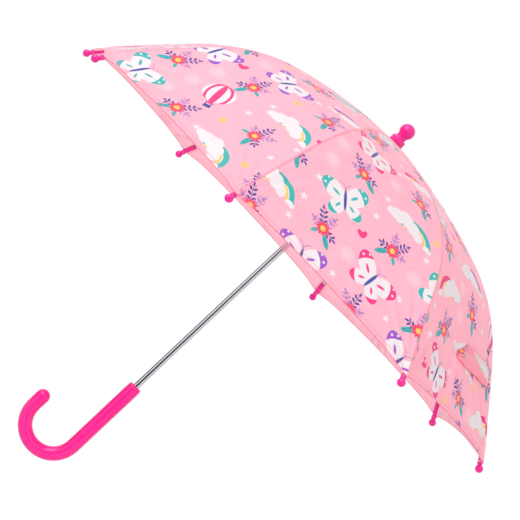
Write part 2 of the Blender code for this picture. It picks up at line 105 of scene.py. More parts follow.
# %% [markdown]
# ## Sizes
# The new pieces have to sit where the CAD pieces are, so they follow the same formulas: a
# rib is three arcs in a row, nearly flat at the crown and almost straight at its tip, and
# the cloth is stretched straight across between ribs. Some lengths aren't the CAD's. Four
# follow the photograph more closely: tip balls of 9.4 mm (CAD 10.8 mm), a rim that hangs 4
# to 6 mm lower between ribs, a strap 2 mm wider and 1 mm further down. The cloth is
# 0.45 mm thick here (CAD 0.6 mm) and the strap 0.6 mm (CAD 0.8 mm), the ferrule's skirt
# reaches 0.4 mm lower, and edges are rounded where the CAD's are plain or chamfered.

# %% The lengths that the pieces share, in metres
MM = 0.001
RIBS = 8
RIB_PHASE = math.radians(-13.0)          # the direction of rib 1, seen from above
STEP = 2 * math.pi / RIBS
TIP_PLANE_Z = 0.2745
RIB_SLOPE = math.radians(3.36)           # how much a rib falls where it starts
RIB_ARCS = ((0.1695, 0.654), (0.1050, 0.2163), (0.1314, 1.200))     # (length, radius)
RIB_LENGTH = sum(length for length, radius in RIB_ARCS)
CLOTH_LIFT, CLOTH_LIFT_TIP, LIFT_RUN, LIFT_DONE = 0.0025, 0.0039, 0.060, 0.0295
CROWN_HOLE_R, CORNER_GAP, SCALLOP_GAP = 0.0055, 0.0090, 0.0155


def walk_rib(s):
    """(radius, fall, slope) at length s along the rib, arc by arc."""
    radius, fall, slope = 0.0, 0.0, RIB_SLOPE
    for length, bend in RIB_ARCS:
        run = min(s, length)
        after = slope + run / bend
        radius += bend * (math.sin(after) - math.sin(slope))
        fall += bend * (math.cos(slope) - math.cos(after))
        slope = after
        s -= run
    return radius + s * math.cos(slope), fall + s * math.sin(slope), slope


RIB_FALL, TIP_SLOPE = walk_rib(RIB_LENGTH)[1:]
CROWN_Z = TIP_PLANE_Z + RIB_FALL + CLOTH_LIFT
NOTCH_DROP, SHAFT_RISE = 0.0055, 0.0116
NOTCH_PIVOT_Z = CROWN_Z - NOTCH_DROP
SHAFT_TOP_Z = CROWN_Z + SHAFT_RISE


def rib_azimuth(k):
    """The direction of rib k, counted from 1."""
    return RIB_PHASE + (k - 1) * STEP


def smooth(low, high, x):
    """0 below low, 1 above high, and a smooth rise between."""
    t = max(0.0, min(1.0, (x - low) / (high - low)))
    return t * t * (3 - 2 * t)


def on_rib(s, lift=0.0):
    """(radius, height) at length s from the crown, raised square to the rib by lift."""
    radius, fall, slope = walk_rib(s)
    return (radius + lift * math.sin(slope),
            TIP_PLANE_Z + RIB_FALL - fall + lift * math.cos(slope))


def cloth_lift(s):
    """The cloth lies this far above the rib's centre line, a little more at the tip."""
    rise = smooth(RIB_LENGTH - LIFT_RUN, RIB_LENGTH - LIFT_DONE, s)
    return CLOTH_LIFT + (CLOTH_LIFT_TIP - CLOTH_LIFT) * rise


RIM_SLACK = {4: 0.0015, 6: 0.0015, 7: 0.0020}        # gores that hang a little longer
CORNER_TONGUE = 0.0020                   # the corners reach past the sewn thread


def rim_length(u, gore=0):
    """Crown to rim at share u of a gore's width: the rim draws in between the ribs."""
    drawn_in = SCALLOP_GAP - CORNER_GAP - RIM_SLACK.get(gore, 0.0)
    tongue = CORNER_TONGUE * (1 - smooth(0.0, 0.035, min(u, 1 - u)))
    return RIB_LENGTH - CORNER_GAP + tongue - drawn_in * (1 - (2 * u - 1) ** 2)


print("a rib is", round(RIB_LENGTH, 4), "long and its cloth ends", round(rim_length(0.5), 4))

# %% [markdown]
# ## The camera
# The photograph was taken from the side with a long lens, and the umbrella lies across
# the picture, so the camera is rolled. The lens and the place were solved from the eight
# rib tips, the ferrule and the handle. right, up and back are the camera's own directions.

# %% Camera
camera_data = bpy.data.cameras.new("camera")
camera_data.sensor_width = 36.0
camera_data.lens = 141.36
camera_data.clip_end = 50.0
camera = linked("camera", camera_data)
right, up, back = ((0.68463, -0.00582, 0.72886), (-0.72887, 0.00120, 0.68465),
                   (-0.00486, -0.99998, -0.00342))
camera.matrix_world = (Matrix.Translation((-0.0201, -2.3734, 0.2478))
                       @ Matrix((right, up, back)).transposed().to_4x4())
scene.camera = camera
print("camera at", [round(x, 3) for x in camera.matrix_world.translation])

# %% [markdown]
# ## Light and floor
# Two area lamps stand in for a studio's soft boxes, and the world fills the shadows. It is
# plain white for the camera and reflections, and dimmer as a lamp, which Light Path tells
# apart. A chromed tube in a white room would look white, so three cards that only
# reflections see draw the dark line along the shaft.

# %% World, lamps and floor
scene.view_settings.view_transform = "Standard"
world = bpy.data.worlds.new("studio")
scene.world = world
world.use_nodes = True
tree = world.node_tree
tree.nodes.clear()
sky = tree.nodes.new("ShaderNodeBackground")
sky.inputs["Color"].default_value = (1.0, 1.0, 1.0, 1.0)
out = tree.nodes.new("ShaderNodeOutputWorld")
path = tree.nodes.new("ShaderNodeLightPath")
seen = tree.nodes.new("ShaderNodeMath")
seen.operation = "MAXIMUM"
through = tree.nodes.new("ShaderNodeMath")
through.operation = "MAXIMUM"
level = tree.nodes.new("ShaderNodeMapRange")
level.inputs["To Min"].default_value = 0.70
level.inputs["To Max"].default_value = 1.0
tree.links.new(path.outputs["Is Camera Ray"], seen.inputs[0])
tree.links.new(path.outputs["Is Glossy Ray"], seen.inputs[1])
tree.links.new(seen.outputs[0], through.inputs[0])
tree.links.new(path.outputs["Is Transmission Ray"], through.inputs[1])
tree.links.new(through.outputs[0], level.inputs["Value"])
tree.links.new(level.outputs["Result"], sky.inputs["Strength"])
tree.links.new(sky.outputs["Background"], out.inputs["Surface"])

MIDDLE = Vector((0.0, 0.0, 0.25))


def soft_box(name, toward, distance, size, watts):
    """A square lamp that looks at the umbrella's middle from one direction."""
    data = bpy.data.lights.new(name, "AREA")
    data.shape, data.size, data.energy = "SQUARE", size, watts
    lamp = linked(name, data)
    way = Vector(toward).normalized()
    lamp.matrix_world = (Matrix.Translation(MIDDLE + distance * way)
                         @ way.to_track_quat("Z", "Y").to_matrix().to_4x4())
    return lamp


soft_box("key_box", (-1.25, -0.8, 1.05), 2.6, 1.6, 30)
fill = soft_box("fill_box", (0.6, -1.5, -0.45), 2.8, 1.8, 24)
fill.visible_glossy = False              # it fills shadows and leaves no streak on gloss


def card(name, azimuth, distance, wide, low, high, foot, head):
    """A card that only reflections see, shaded from its foot to its head."""
    bm = bmesh.new()
    bmesh.ops.create_grid(bm, x_segments=1, y_segments=1, size=0.5)
    look, tree, shader = new_look(name)
    piece = linked(name, mesh_of(name, bm, look))
    turn = math.radians(azimuth)
    piece.matrix_world = (
        Matrix.Rotation(turn, 4, "Z") @ Matrix.Translation((0, -distance, (low + high) / 2))
        @ Matrix.Rotation(math.pi / 2, 4, "X") @ Matrix.Diagonal((wide, high - low, 1, 1)))
    for ray in ("camera", "diffuse", "transmission", "volume_scatter", "shadow"):
        setattr(piece, "visible_" + ray, False)
    shader.inputs["Specular IOR Level"].default_value = 0.0
    shader.inputs["Roughness"].default_value = 1.0
    place = tree.nodes.new("ShaderNodeTexCoord")
    split = tree.nodes.new("ShaderNodeSeparateXYZ")
    ramp = tree.nodes.new("ShaderNodeValToRGB")
    for stop, (place_on, colour) in zip(ramp.color_ramp.elements, ((0.2, foot), (0.8, head))):
        stop.position, stop.color = place_on, (*colour, 1.0)
    tree.links.new(place.outputs["Generated"], split.inputs[0])
    tree.links.new(split.outputs["Y"], ramp.inputs["Fac"])
    tree.links.new(ramp.outputs["Color"], shader.inputs["Base Color"])


card("slate_card", -4, 2.2, 2.60, -0.35, 0.45, (0.0, 0.01, 0.015), (0.20, 0.21, 0.23))
card("grey_card", -97, 2.2, 2.10, -0.35, 0.45, (0.02, 0.03, 0.04), (0.34, 0.35, 0.36))
card("lilac_card", 76, 2.2, 2.70, -0.35, 0.45, (0.70, 0.62, 0.68), (0.75, 0.70, 0.73))

floor_look, tree, shader = new_look("pale_floor")
shader.inputs["Base Color"].default_value = (0.80, 0.80, 0.80, 1.0)
shader.inputs["Roughness"].default_value = 0.9
bm = bmesh.new()
bmesh.ops.create_circle(bm, cap_ends=True, radius=4.0, segments=96,
                        matrix=Matrix.Translation((0, 0, -1.6)))
floor = linked("floor", mesh_of("floor", bm, floor_look))
print("world, two lamps, three cards and a floor")

# %% [markdown]
# ## Formulas in shader nodes
# The print is drawn with shader nodes, which needs many sums. This small class holds one
# output of a node tree, and its plus, minus and times make the Math nodes, so that a shape
# can be written as a formula.

# %% Numbers and points that make their own nodes


def feed(tree, value, socket):
    """Link a number, point or colour into a socket, or write a constant on it."""
    if isinstance(value, Number):
        value = value.socket
    if isinstance(value, bpy.types.NodeSocket):
        tree.links.new(value, socket)
    else:
        socket.default_value = value


class Number:
    """One output of a node tree, used as in a formula."""

    def __init__(self, tree, socket):
        self.tree, self.socket = tree, socket

    def math(self, operation, *others, first=None, clamp=False):
        node = self.tree.nodes.new("ShaderNodeMath")
        node.operation, node.use_clamp = operation, clamp
        values = (self, *others) if first is None else (first, self)
        for value, socket in zip(values, node.inputs):
            feed(self.tree, value, socket)
        return Number(self.tree, node.outputs[0])

    def __add__(self, other):
        return self.math("ADD", other)

    def __sub__(self, other):
        return self.math("SUBTRACT", other)

    def __rsub__(self, other):
        return self.math("SUBTRACT", first=other)

    def __mul__(self, other):
        return self.math("MULTIPLY", other)

    def __truediv__(self, other):
        return self.math("DIVIDE", other)

    def __neg__(self):
        return self * -1.0

    def __abs__(self):
        return self.math("ABSOLUTE")

    def least(self, *others):
        found = self
        for other in others:
            found = found.math("MINIMUM", other)
        return found

    def most(self, other):
        return self.math("MAXIMUM", other)

    def below(self, other):
        return self.math("LESS_THAN", other)

    def ramp(self, start, end, low=0.0, high=1.0):
        """low at start and high at end, and held beyond both."""
        node = self.tree.nodes.new("ShaderNodeMapRange")
        for name, value in (("Value", self), ("From Min", start), ("From Max", end),
                            ("To Min", low), ("To Max", high)):
            feed(self.tree, value, node.inputs[name])
        return Number(self.tree, node.outputs["Result"])


def parts_of(tree, point):
    """The x and y of a point."""
    node = tree.nodes.new("ShaderNodeSeparateXYZ")
    feed(tree, point, node.inputs[0])
    return Number(tree, node.outputs["X"]), Number(tree, node.outputs["Y"])


def point_at(tree, x, y):
    """A point made of two numbers."""
    node = tree.nodes.new("ShaderNodeCombineXYZ")
    feed(tree, x, node.inputs["X"])
    feed(tree, y, node.inputs["Y"])
    return node.outputs[0]


def turned(tree, point, angle):
    """The point turned about the origin."""
    node = tree.nodes.new("ShaderNodeVectorRotate")
    node.rotation_type = "Z_AXIS"
    feed(tree, point, node.inputs["Vector"])
    feed(tree, angle, node.inputs["Angle"])
    return node.outputs[0]


def disc(tree, point, x, y, radius):
    """Distance to a circle's edge, below 0 inside it. Lengths here are in millimetres."""
    node = tree.nodes.new("ShaderNodeVectorMath")
    node.operation = "DISTANCE"
    feed(tree, point, node.inputs[0])
    node.inputs[1].default_value = (x * MM, y * MM, 0.0)
    return Number(tree, node.outputs["Value"]) - radius * MM


def oval(tree, point, x, y, long, wide, turn=0.0):
    """Much the same for an oval, long and wide from its middle, turned by degrees."""
    place = tree.nodes.new("ShaderNodeMapping")
    place.vector_type = "TEXTURE"
    feed(tree, point, place.inputs["Vector"])
    place.inputs["Location"].default_value = (x * MM, y * MM, 0.0)
    place.inputs["Rotation"].default_value = (0.0, 0.0, math.radians(turn))
    place.inputs["Scale"].default_value = (long * MM, wide * MM, 1.0)
    size = tree.nodes.new("ShaderNodeVectorMath")
    size.operation = "LENGTH"
    tree.links.new(place.outputs[0], size.inputs[0])
    return (Number(tree, size.outputs["Value"]) - 1.0) * (wide * MM)


def wheel(tree, point, count, turn=0.0):
    """Folds a ring of count petals onto the one that lies along +x."""
    x, y = parts_of(tree, point)
    slice_ = 2 * math.pi / count
    angle = y.math("ARCTAN2", x) - turn
    nearest = (angle / slice_).math("ROUND") * slice_
    return turned(tree, point, -(nearest + turn))


def inked(distance, soft=0.35):
    """How much ink a shape lays down: 1 inside, 0 outside, with a soft edge."""
    return distance.ramp(-soft * MM, soft * MM, 1.0, 0.0)


def over(tree, under, colour, amount):
    """Paints colour over what is there, by amount."""
    node = tree.nodes.new("ShaderNodeMix")
    node.data_type = "RGBA"
    feed(tree, amount, node.inputs["Factor"])
    feed(tree, under, node.inputs[6])
    feed(tree, colour, node.inputs[7])
    return node.outputs[2]


def noise_number(tree, point, scale, detail=2.0):
    """A smooth random number that changes over the surface, about 0 to 1."""
    node = tree.nodes.new("ShaderNodeTexNoise")
    feed(tree, point, node.inputs["Vector"])
    node.inputs["Scale"].default_value = scale
    node.inputs["Detail"].default_value = detail
    return Number(tree, node.outputs["Fac"])


def new_group(name, inputs, outputs):
    """A shader node group with named sockets: (name, kind, starting value)."""
    group = bpy.data.node_groups.new(name, "ShaderNodeTree")
    for label, kind, value in inputs:
        socket = group.interface.new_socket(label, in_out="INPUT",
                                            socket_type="NodeSocket" + kind)
        if value is not None:
            socket.default_value = value
    for label, kind in outputs:
        group.interface.new_socket(label, in_out="OUTPUT", socket_type="NodeSocket" + kind)
    come, go = group.nodes.new("NodeGroupInput"), group.nodes.new("NodeGroupOutput")
    return group, come, go


def use(tree, group, **inputs):
    """Place a group in a tree; a socket's name is written with _ for a space."""
    node = tree.nodes.new("ShaderNodeGroup")
    node.node_tree = group
    for name, value in inputs.items():
        feed(tree, value, node.inputs[name.replace("_", " ")])
    return node


def give(tree, go, **outputs):
    """Link values to the outputs of a group."""
    for name, value in outputs.items():
        feed(tree, value, go.inputs[name])


def bumped(tree, shader, height, strength, distance):
    """Let a height tilt the shader's normal."""
    lift = tree.nodes.new("ShaderNodeBump")
    lift.inputs["Strength"].default_value = strength
    lift.inputs["Distance"].default_value = distance
    feed(tree, height, lift.inputs["Height"])
    tree.links.new(lift.outputs["Normal"], shader.inputs["Normal"])


print("formula helpers ready")

# %% [markdown]
# ## Where each motif of the print goes
# Cloth printers repeat a tile in a half drop: every second column sits half a tile lower,
# which hides the rows. This group finds the tile that a point of the cloth is in, gives
# the point measured from the tile's middle, and swings and mirrors each tile by its own
# random number, so that no two neighbours match.

# %% The half-drop layout
layout, come, go = new_group(
    "half_drop_layout",
    [("Cloth", "Vector", None), ("Width", "Float", 0.1), ("Height", "Float", 0.1),
     ("Drop", "Float", 0.5), ("Swing", "Float", 0.5), ("Right", "Float", 0.0),
     ("Up", "Float", 0.0)],
    [("Point", "Vector"), ("Pick", "Float")])
t = layout
x, y = parts_of(t, come.outputs["Cloth"])
width, height = (Number(t, come.outputs[name]) for name in ("Width", "Height"))
across = (x - come.outputs["Right"]) / width
column = across.math("FLOOR")
odd = (column * 0.5).math("FRACT") * 2.0
rise = (y - come.outputs["Up"]) / height + odd * come.outputs["Drop"]
row = rise.math("FLOOR")
local_x, local_y = (across - column - 0.5) * width, (rise - row - 0.5) * height
dice = t.nodes.new("ShaderNodeTexWhiteNoise")
dice.noise_dimensions = "2D"
t.links.new(point_at(t, column, row), dice.inputs["Vector"])
shades = t.nodes.new("ShaderNodeSeparateColor")
t.links.new(dice.outputs["Color"], shades.inputs[0])
swing = (Number(t, shades.outputs["Red"]) - 0.5) * come.outputs["Swing"]
side = (Number(t, shades.outputs["Green"]) - 0.5).math("SIGN")
give(t, go, Point=turned(t, point_at(t, local_x * side, local_y), swing),
     Pick=dice.outputs["Value"])
print("layout group has", len(t.nodes), "nodes")

# %% [markdown]
# ## The motifs
# Each motif is a few soft-edged discs and ovals painted over one another, as a screen
# print lays down one ink after the next. All of them are plain nursery shapes:
# butterflies, clouds with a rainbow, balloons, flowers with leaf sprigs, hearts, bursts
# and stars.

# %% Inks, as linear colours
WHITE = (0.79, 0.71, 0.74, 1.0)
SHADOW = (0.86, 0.62, 0.66, 1.0)
MAGENTA = (0.83, 0.035, 0.21, 1.0)
TEAL = (0.045, 0.42, 0.40, 1.0)
PURPLE = (0.33, 0.09, 0.50, 1.0)
NAVY = (0.055, 0.065, 0.30, 1.0)
VIOLET = (0.24, 0.16, 0.50, 1.0)
YELLOW = (0.98, 0.55, 0.12, 1.0)
RED = (0.86, 0.045, 0.12, 1.0)
PALE = (1.0, 0.68, 0.73, 1.0)

# %% Butterflies, clouds and balloons
big_motif, come, go = new_group(
    "butterfly_cloud_balloon", [("Point", "Vector", None), ("Pick", "Float", 0.0)],
    [("Colour", "Color"), ("Ink", "Float")])
t = big_motif
point, pick = come.outputs["Point"], Number(t, come.outputs["Pick"])
x, y = parts_of(t, point)
half = point_at(t, abs(x), y)
accent_ramp = t.nodes.new("ShaderNodeValToRGB")
accent_ramp.color_ramp.interpolation = "CONSTANT"
accent_ramp.color_ramp.elements[0].color = MAGENTA
accent_ramp.color_ramp.elements[1].position = 0.34
accent_ramp.color_ramp.elements[1].color = TEAL
accent_ramp.color_ramp.elements.new(0.67).color = PURPLE
t.links.new((pick * 7.0).math("FRACT").socket, accent_ramp.inputs["Fac"])
accent = accent_ramp.outputs["Color"]

# A butterfly: white wings with coloured tips and a coloured drop near the body.
upper = oval(t, half, 15.5, 8.5, 17, 11, 32)
lower = oval(t, half, 11, -11, 12.5, 8.5, -40)
reach = disc(t, point, 0, 0, 25)
tips = upper.most(-reach).least(lower.most(-reach - 3.5 * MM))
drops = oval(t, half, 12, 6, 5.5, 1.7, 32).least(oval(t, half, 9, -8.5, 4.2, 1.5, -44))
dots = disc(t, half, 26.5, 12.5, 1.5).least(disc(t, half, 22, 19.5, 1.3))
body = oval(t, point, 0, 0, 14, 1.9, 90)
feelers = (abs(disc(t, half, 8, 12, 8)) - 0.45 * MM).most(12 * MM - y).most(
    abs(x) - 8 * MM)
wing_colour = over(t, over(t, WHITE, accent, inked(tips)), WHITE, inked(dots))
wing_colour = over(t, over(t, wing_colour, accent, inked(drops)), NAVY,
                   inked(body.least(feelers)))
wing_ink = inked(upper.least(lower, body, feelers))

# A cloud: white puffs on a flat base, with a rainbow that comes down beside it.
puffs = disc(t, point, -17, -5, 9.5).least(
    disc(t, point, -7, 1, 10.5), disc(t, point, 5, -2, 9.5), disc(t, point, 14.5, -7, 7),
    disc(t, point, -26, -8.5, 6.5), disc(t, point, 30, -11, 5), disc(t, point, 35, -12, 3.8))
cloud = puffs.most(-13.5 * MM - y)
curl = (abs(disc(t, point, -8, -5, 6.5)) - 0.4 * MM).most(-3 * MM - y).most(x + 3 * MM)
bow = disc(t, point, 11, -13, 19)
rainbow = (abs(bow) - 5.4 * MM).most(-12 * MM - y)
bow_colour = over(t, over(t, accent, YELLOW, inked(bow + 1.8 * MM)), WHITE,
                  inked(abs(bow + 1.8 * MM) - 0.5 * MM))
cloud_colour = over(t, over(t, bow_colour, WHITE, inked(cloud)), SHADOW, inked(curl))
cloud_ink = inked(cloud.least(rainbow))

# A balloon: a white envelope with coloured stripes over a small basket.
envelope = disc(t, point, 0, 8, 19).least(
    (abs(x) - (y + 21 * MM) * 0.62).most(-15 * MM - y).most(y - 1 * MM))
stripes = oval(t, point, 0, 4, 24, 4.2, 90).least(
    abs(oval(t, point, 0, 6, 21.5, 13.5, 90)) - 1.6 * MM)
ropes = (abs(abs(x) - 3.4 * MM) - 0.6 * MM).most(abs(y + 15.5 * MM) - 2.5 * MM)
basket = (abs(x) - 4.6 * MM).most(abs(y + 20 * MM) - 3 * MM)
balloon_colour = over(t, over(t, WHITE, accent, inked(stripes)), NAVY,
                      inked(ropes.least(basket)))
balloon_ink = inked(envelope.least(ropes, basket))

is_wing, is_cloud = pick.below(0.44), pick.below(0.78)
colour = over(t, over(t, balloon_colour, cloud_colour, is_cloud), wing_colour, is_wing)
ink = balloon_ink + (cloud_ink - balloon_ink) * is_cloud
give(t, go, Colour=colour, Ink=ink + (wing_ink - cloud_ink) * is_wing)
print("big motifs:", len(t.nodes), "nodes")

# %% Flowers with leaf sprigs


def sprig(tree, point, turn, start, end, outlined=False):
    """A stem with pairs of leaves, from start to end along one direction."""
    x, y = parts_of(tree, turned(tree, point, -math.radians(turn)))
    reach = abs(x - (start + end) / 2 * MM) - (end - start) / 2 * MM
    pitch = 5.4 * MM
    fold = ((x / pitch).math("FRACT") - 0.5) * pitch
    leaf = oval(tree, point_at(tree, fold, abs(y)), 0.9, 3.0, 3.0, 1.5, 50)
    tip = oval(tree, point_at(tree, x, y), end + 1.6, 0, 2.8, 1.3)
    if outlined:
        leaf, tip = abs(leaf + 0.35 * MM) - 0.4 * MM, abs(tip + 0.35 * MM) - 0.4 * MM
    return (abs(y) - 0.4 * MM).least(leaf).most(reach).least(tip)


flower_motif, come, go = new_group("flower_bunch", [("Point", "Vector", None)],
                                   [("Colour", "Color"), ("Ink", "Float")])
t = flower_motif
point = come.outputs["Point"]
dark_leaves = sprig(t, point, 108, 5, 24).least(sprig(t, point, -20, 6, 16))
light_leaves = sprig(t, point, 62, 6, 20, True).least(sprig(t, point, 158, 7, 15, True))
green = oval(t, point, 8, -13, 9, 3.4, -58).least(oval(t, point, -8, -7, 6, 2.4, 220))
vein = inked(abs(oval(t, point, 8, -13, 9, 3.4, -58) + 2.0 * MM) - 0.35 * MM)
petals = oval(t, wheel(t, point, 10), 5.2, 0, 3.6, 1.9)
heart_of_it = disc(t, point, 0, 0, 3.9)
colour = over(t, NAVY, VIOLET, inked(light_leaves))
colour = over(t, over(t, colour, TEAL, inked(green)), NAVY, vein * inked(green) * 0.6)
colour = over(t, colour, RED, inked(petals))
colour = over(t, over(t, colour, (0.97, 0.30, 0.08, 1.0), inked(heart_of_it)), YELLOW,
              inked(heart_of_it + 1.2 * MM))
give(t, go, Colour=colour,
     Ink=inked(dark_leaves.least(light_leaves, green, petals, heart_of_it)))
print("flowers:", len(t.nodes), "nodes")

# %% Stars, bursts, hearts and florets
small_motif, come, go = new_group(
    "small_scatter", [("Point", "Vector", None), ("Pick", "Float", 0.0)],
    [("Colour", "Color"), ("Ink", "Float")])
t = small_motif
point, pick = come.outputs["Point"], Number(t, come.outputs["Pick"])
star = oval(t, wheel(t, point, 5, math.pi / 2), 1.9, 0, 2.5, 0.95).least(
    disc(t, point, 0, 0, 1.6))
burst = oval(t, wheel(t, point, 16), 6.2, 0, 2.5, 0.45).least(
    oval(t, wheel(t, point, 9), 2.3, 0, 1.1, 0.4), disc(t, wheel(t, point, 16), 9.8, 0, 0.5))
x, y = parts_of(t, point)
heart = oval(t, point_at(t, abs(x), y), 2.1, 0.4, 5.6, 3.1, 52)
floret = oval(t, wheel(t, point, 6), 3.0, 0, 2.1, 1.5)
is_star, is_burst, is_heart = pick.below(0.50), pick.below(0.72), pick.below(0.80)
colour = over(t, YELLOW, MAGENTA, is_heart)
colour = over(t, over(t, colour, PALE, is_burst), WHITE, is_star)
colour = over(t, colour, RED, inked(disc(t, point, 0, 0, 1.2)) * (1.0 - is_heart))
ink = inked(floret) * (1.0 - is_heart) + inked(heart) * (is_heart - is_burst)
ink = ink + inked(burst, 0.5) * (is_burst - is_star) * 0.85 + inked(star) * is_star
give(t, go, Colour=colour, Ink=ink)
print("small motifs:", len(t.nodes), "nodes")

# %% [markdown]
# ## The print
# The finished print stacks three layouts on one cloth: the big motifs, the flowers half
# a tile away from them, and the small ones in the columns between.

# %% The whole print as one group
TILE_W, TILE_H = 0.074, 0.102
cloth_print, come, go = new_group(
    "nursery_print", [("Cloth", "Vector", None), ("Ground", "Color", (1, 0.5, 0.58, 1))],
    [("Colour", "Color"), ("Ink", "Float")])
t = cloth_print
cloth = come.outputs["Cloth"]
small_place = use(t, layout, Cloth=cloth, Width=TILE_W, Height=TILE_H / 3, Drop=0.33,
                  Swing=2.5, Right=TILE_W / 2, Up=0.012)
small = use(t, small_motif, Point=small_place.outputs["Point"],
            Pick=small_place.outputs["Pick"])
flower_place = use(t, layout, Cloth=cloth, Width=TILE_W, Height=TILE_H, Swing=1.1,
                   Up=TILE_H / 2)
flower = use(t, flower_motif, Point=flower_place.outputs["Point"])
big_place = use(t, layout, Cloth=cloth, Width=TILE_W, Height=TILE_H, Swing=1.2)
big = use(t, big_motif, Point=big_place.outputs["Point"], Pick=big_place.outputs["Pick"])
colour = come.outputs["Ground"]
ink = None
for motif in (small, flower, big):
    colour = over(t, colour, motif.outputs["Colour"], motif.outputs["Ink"])
    laid = Number(t, motif.outputs["Ink"])
    ink = laid if ink is None else ink.most(laid)
give(t, go, Colour=colour, Ink=ink)
print("print group has", len(t.nodes), "nodes of its own")

# %% [markdown]
# ## Weave, seams and hems
# The canopy is a thin plain-woven cloth. Its threads are far finer than a pixel here, so
# they're a bump and not geometry. Two more things are sewn: the seam where two gores meet
# over a rib, and the hem round the rim. The mesh carries how far each point is from both,
# and this group turns that into a groove, a folded edge and a row of stitches. It also
# paints shade: a band along each seam, wider and darker near the crown, for the rib's
# shadow through the cloth, and a faint shade that grows towards the crown.

# %% Weave and sewing groups
weave, come, go = new_group(
    "plain_weave", [("Cloth", "Vector", None), ("Pitch", "Float", 0.0005)],
    [("Height", "Float"), ("Shade", "Float")])
t = weave
x, y = parts_of(t, come.outputs["Cloth"])
turns = 2 * math.pi
warp = ((x * turns) / come.outputs["Pitch"]).math("SINE")
weft = ((y * turns) / come.outputs["Pitch"]).math("SINE")
slubs = noise_number(t, come.outputs["Cloth"], 60.0, 3.0)
give(t, go, Height=warp * weft * 0.5 + 0.5, Shade=slubs.ramp(0.35, 0.65))

sewing, come, go = new_group(
    "seam_and_hem",
    [("Cloth", "Vector", None), ("Edges", "Vector", None), ("Colour", "Color", None),
     ("Seam Tint", "Color", (0.9, 0.25, 0.33, 1)), ("Strength", "Float", 0.5)],
    [("Colour", "Color"), ("Height", "Float")])
t = sewing
along, down = parts_of(t, come.outputs["Cloth"])
from_seam, from_rim = parts_of(t, come.outputs["Edges"])
strength = Number(t, come.outputs["Strength"])
# seam_shade is painted shade: a band along the seam, wider and darker near the crown, for the
# rib's shadow through the cloth.
near_crown = from_rim.ramp(150 * MM, 260 * MM)
band = near_crown * (1.6 * MM) + 1.5 * MM
seam_shade = from_seam.ramp(band * 0.4, band * 1.5, 1.0, 0.0)
seam_line = from_seam.ramp(0.3 * MM, 1.0 * MM, 1.0, 0.0)
stitch_line = abs(from_rim - 6.0 * MM).ramp(0.4 * MM, 1.0 * MM, 1.0, 0.0)
dash = ((along / (3.0 * MM)).math("FRACT")).below(0.68)
fold_line = from_rim.ramp(0.5 * MM, 1.9 * MM, 1.0, 0.0)
doubled = from_rim.ramp(5.8 * MM, 6.6 * MM, 1.0, 0.0)
# shade joins the painted shade (seam_shade, and a faint near_crown * 0.09 towards the crown) with
# the seam groove, the doubled hem, the stitches and the folded edge.
shade = (seam_shade * (near_crown * 0.36 + 0.44)).most(seam_line * 0.75).most(
    near_crown * 0.09)
shade = shade.most(doubled * 0.18).most(stitch_line * (dash * 0.35 + 0.35))
shade = (shade * from_rim.ramp(2 * MM, 12 * MM, 0.3, 1.0)).most(fold_line)
give(t, go, Colour=over(t, come.outputs["Colour"], come.outputs["Seam Tint"],
                        shade * strength),
     Height=doubled * 0.6 - seam_line - stitch_line * (1.2 - dash))
print("weave and sewing groups made")

# %% [markdown]
# ## Hard finishes
# Plastic and metal are never one flat colour: the moulding leaves a faint mottle, and
# handling leaves fine rub marks that change how sharp the reflections are. One group makes
# both from smooth noise, and every hard material uses it with its own values.

# %% Mottle and rub marks
rubbed, come, go = new_group(
    "mottle_and_rub",
    [("Place", "Vector", None), ("Size", "Float", 0.02), ("Light", "Color", (1, 1, 1, 1)),
     ("Dark", "Color", (0.9, 0.9, 0.9, 1)), ("Smooth", "Float", 0.15), ("Dull", "Float", 0.3)],
    [("Colour", "Color"), ("Roughness", "Float"), ("Height", "Float")])
t = rubbed
scaled = t.nodes.new("ShaderNodeVectorMath")
scaled.operation = "SCALE"
t.links.new(come.outputs["Place"], scaled.inputs[0])
t.links.new(Number(t, come.outputs["Size"]).math("DIVIDE", first=1.0).socket,
            scaled.inputs["Scale"])
broad = noise_number(t, scaled.outputs[0], 1.0, 3.0)
fine = noise_number(t, scaled.outputs[0], 14.0, 4.0)
mottle = broad.ramp(0.3, 0.7)
rub = (broad * fine).ramp(0.18, 0.36)
smooth_end, dull_end = (Number(t, come.outputs[name]) for name in ("Smooth", "Dull"))
give(t, go, Colour=over(t, come.outputs["Light"], come.outputs["Dark"], mottle),
     Roughness=smooth_end + (dull_end - smooth_end) * rub, Height=fine)
print("mottle group has", len(t.nodes), "nodes")


# %% Materials of the hard pieces
def hard_look(name, light, dark, size, smooth_end, dull_end, bump=0.02, **shader_values):
    """A hard material from the mottle group; plain values go on the shader itself."""
    look, tree, shader = new_look(name)
    place = tree.nodes.new("ShaderNodeTexCoord")
    marks = use(tree, rubbed, Place=place.outputs["Object"], Size=size, Light=(*light, 1.0),
                Dark=(*dark, 1.0), Smooth=smooth_end, Dull=dull_end)
    tree.links.new(marks.outputs["Colour"], shader.inputs["Base Color"])
    tree.links.new(marks.outputs["Roughness"], shader.inputs["Roughness"])
    bumped(tree, shader, marks.outputs["Height"], bump, 0.0002)
    for label, value in shader_values.items():
        shader.inputs[label.replace("_", " ")].default_value = value
    return look


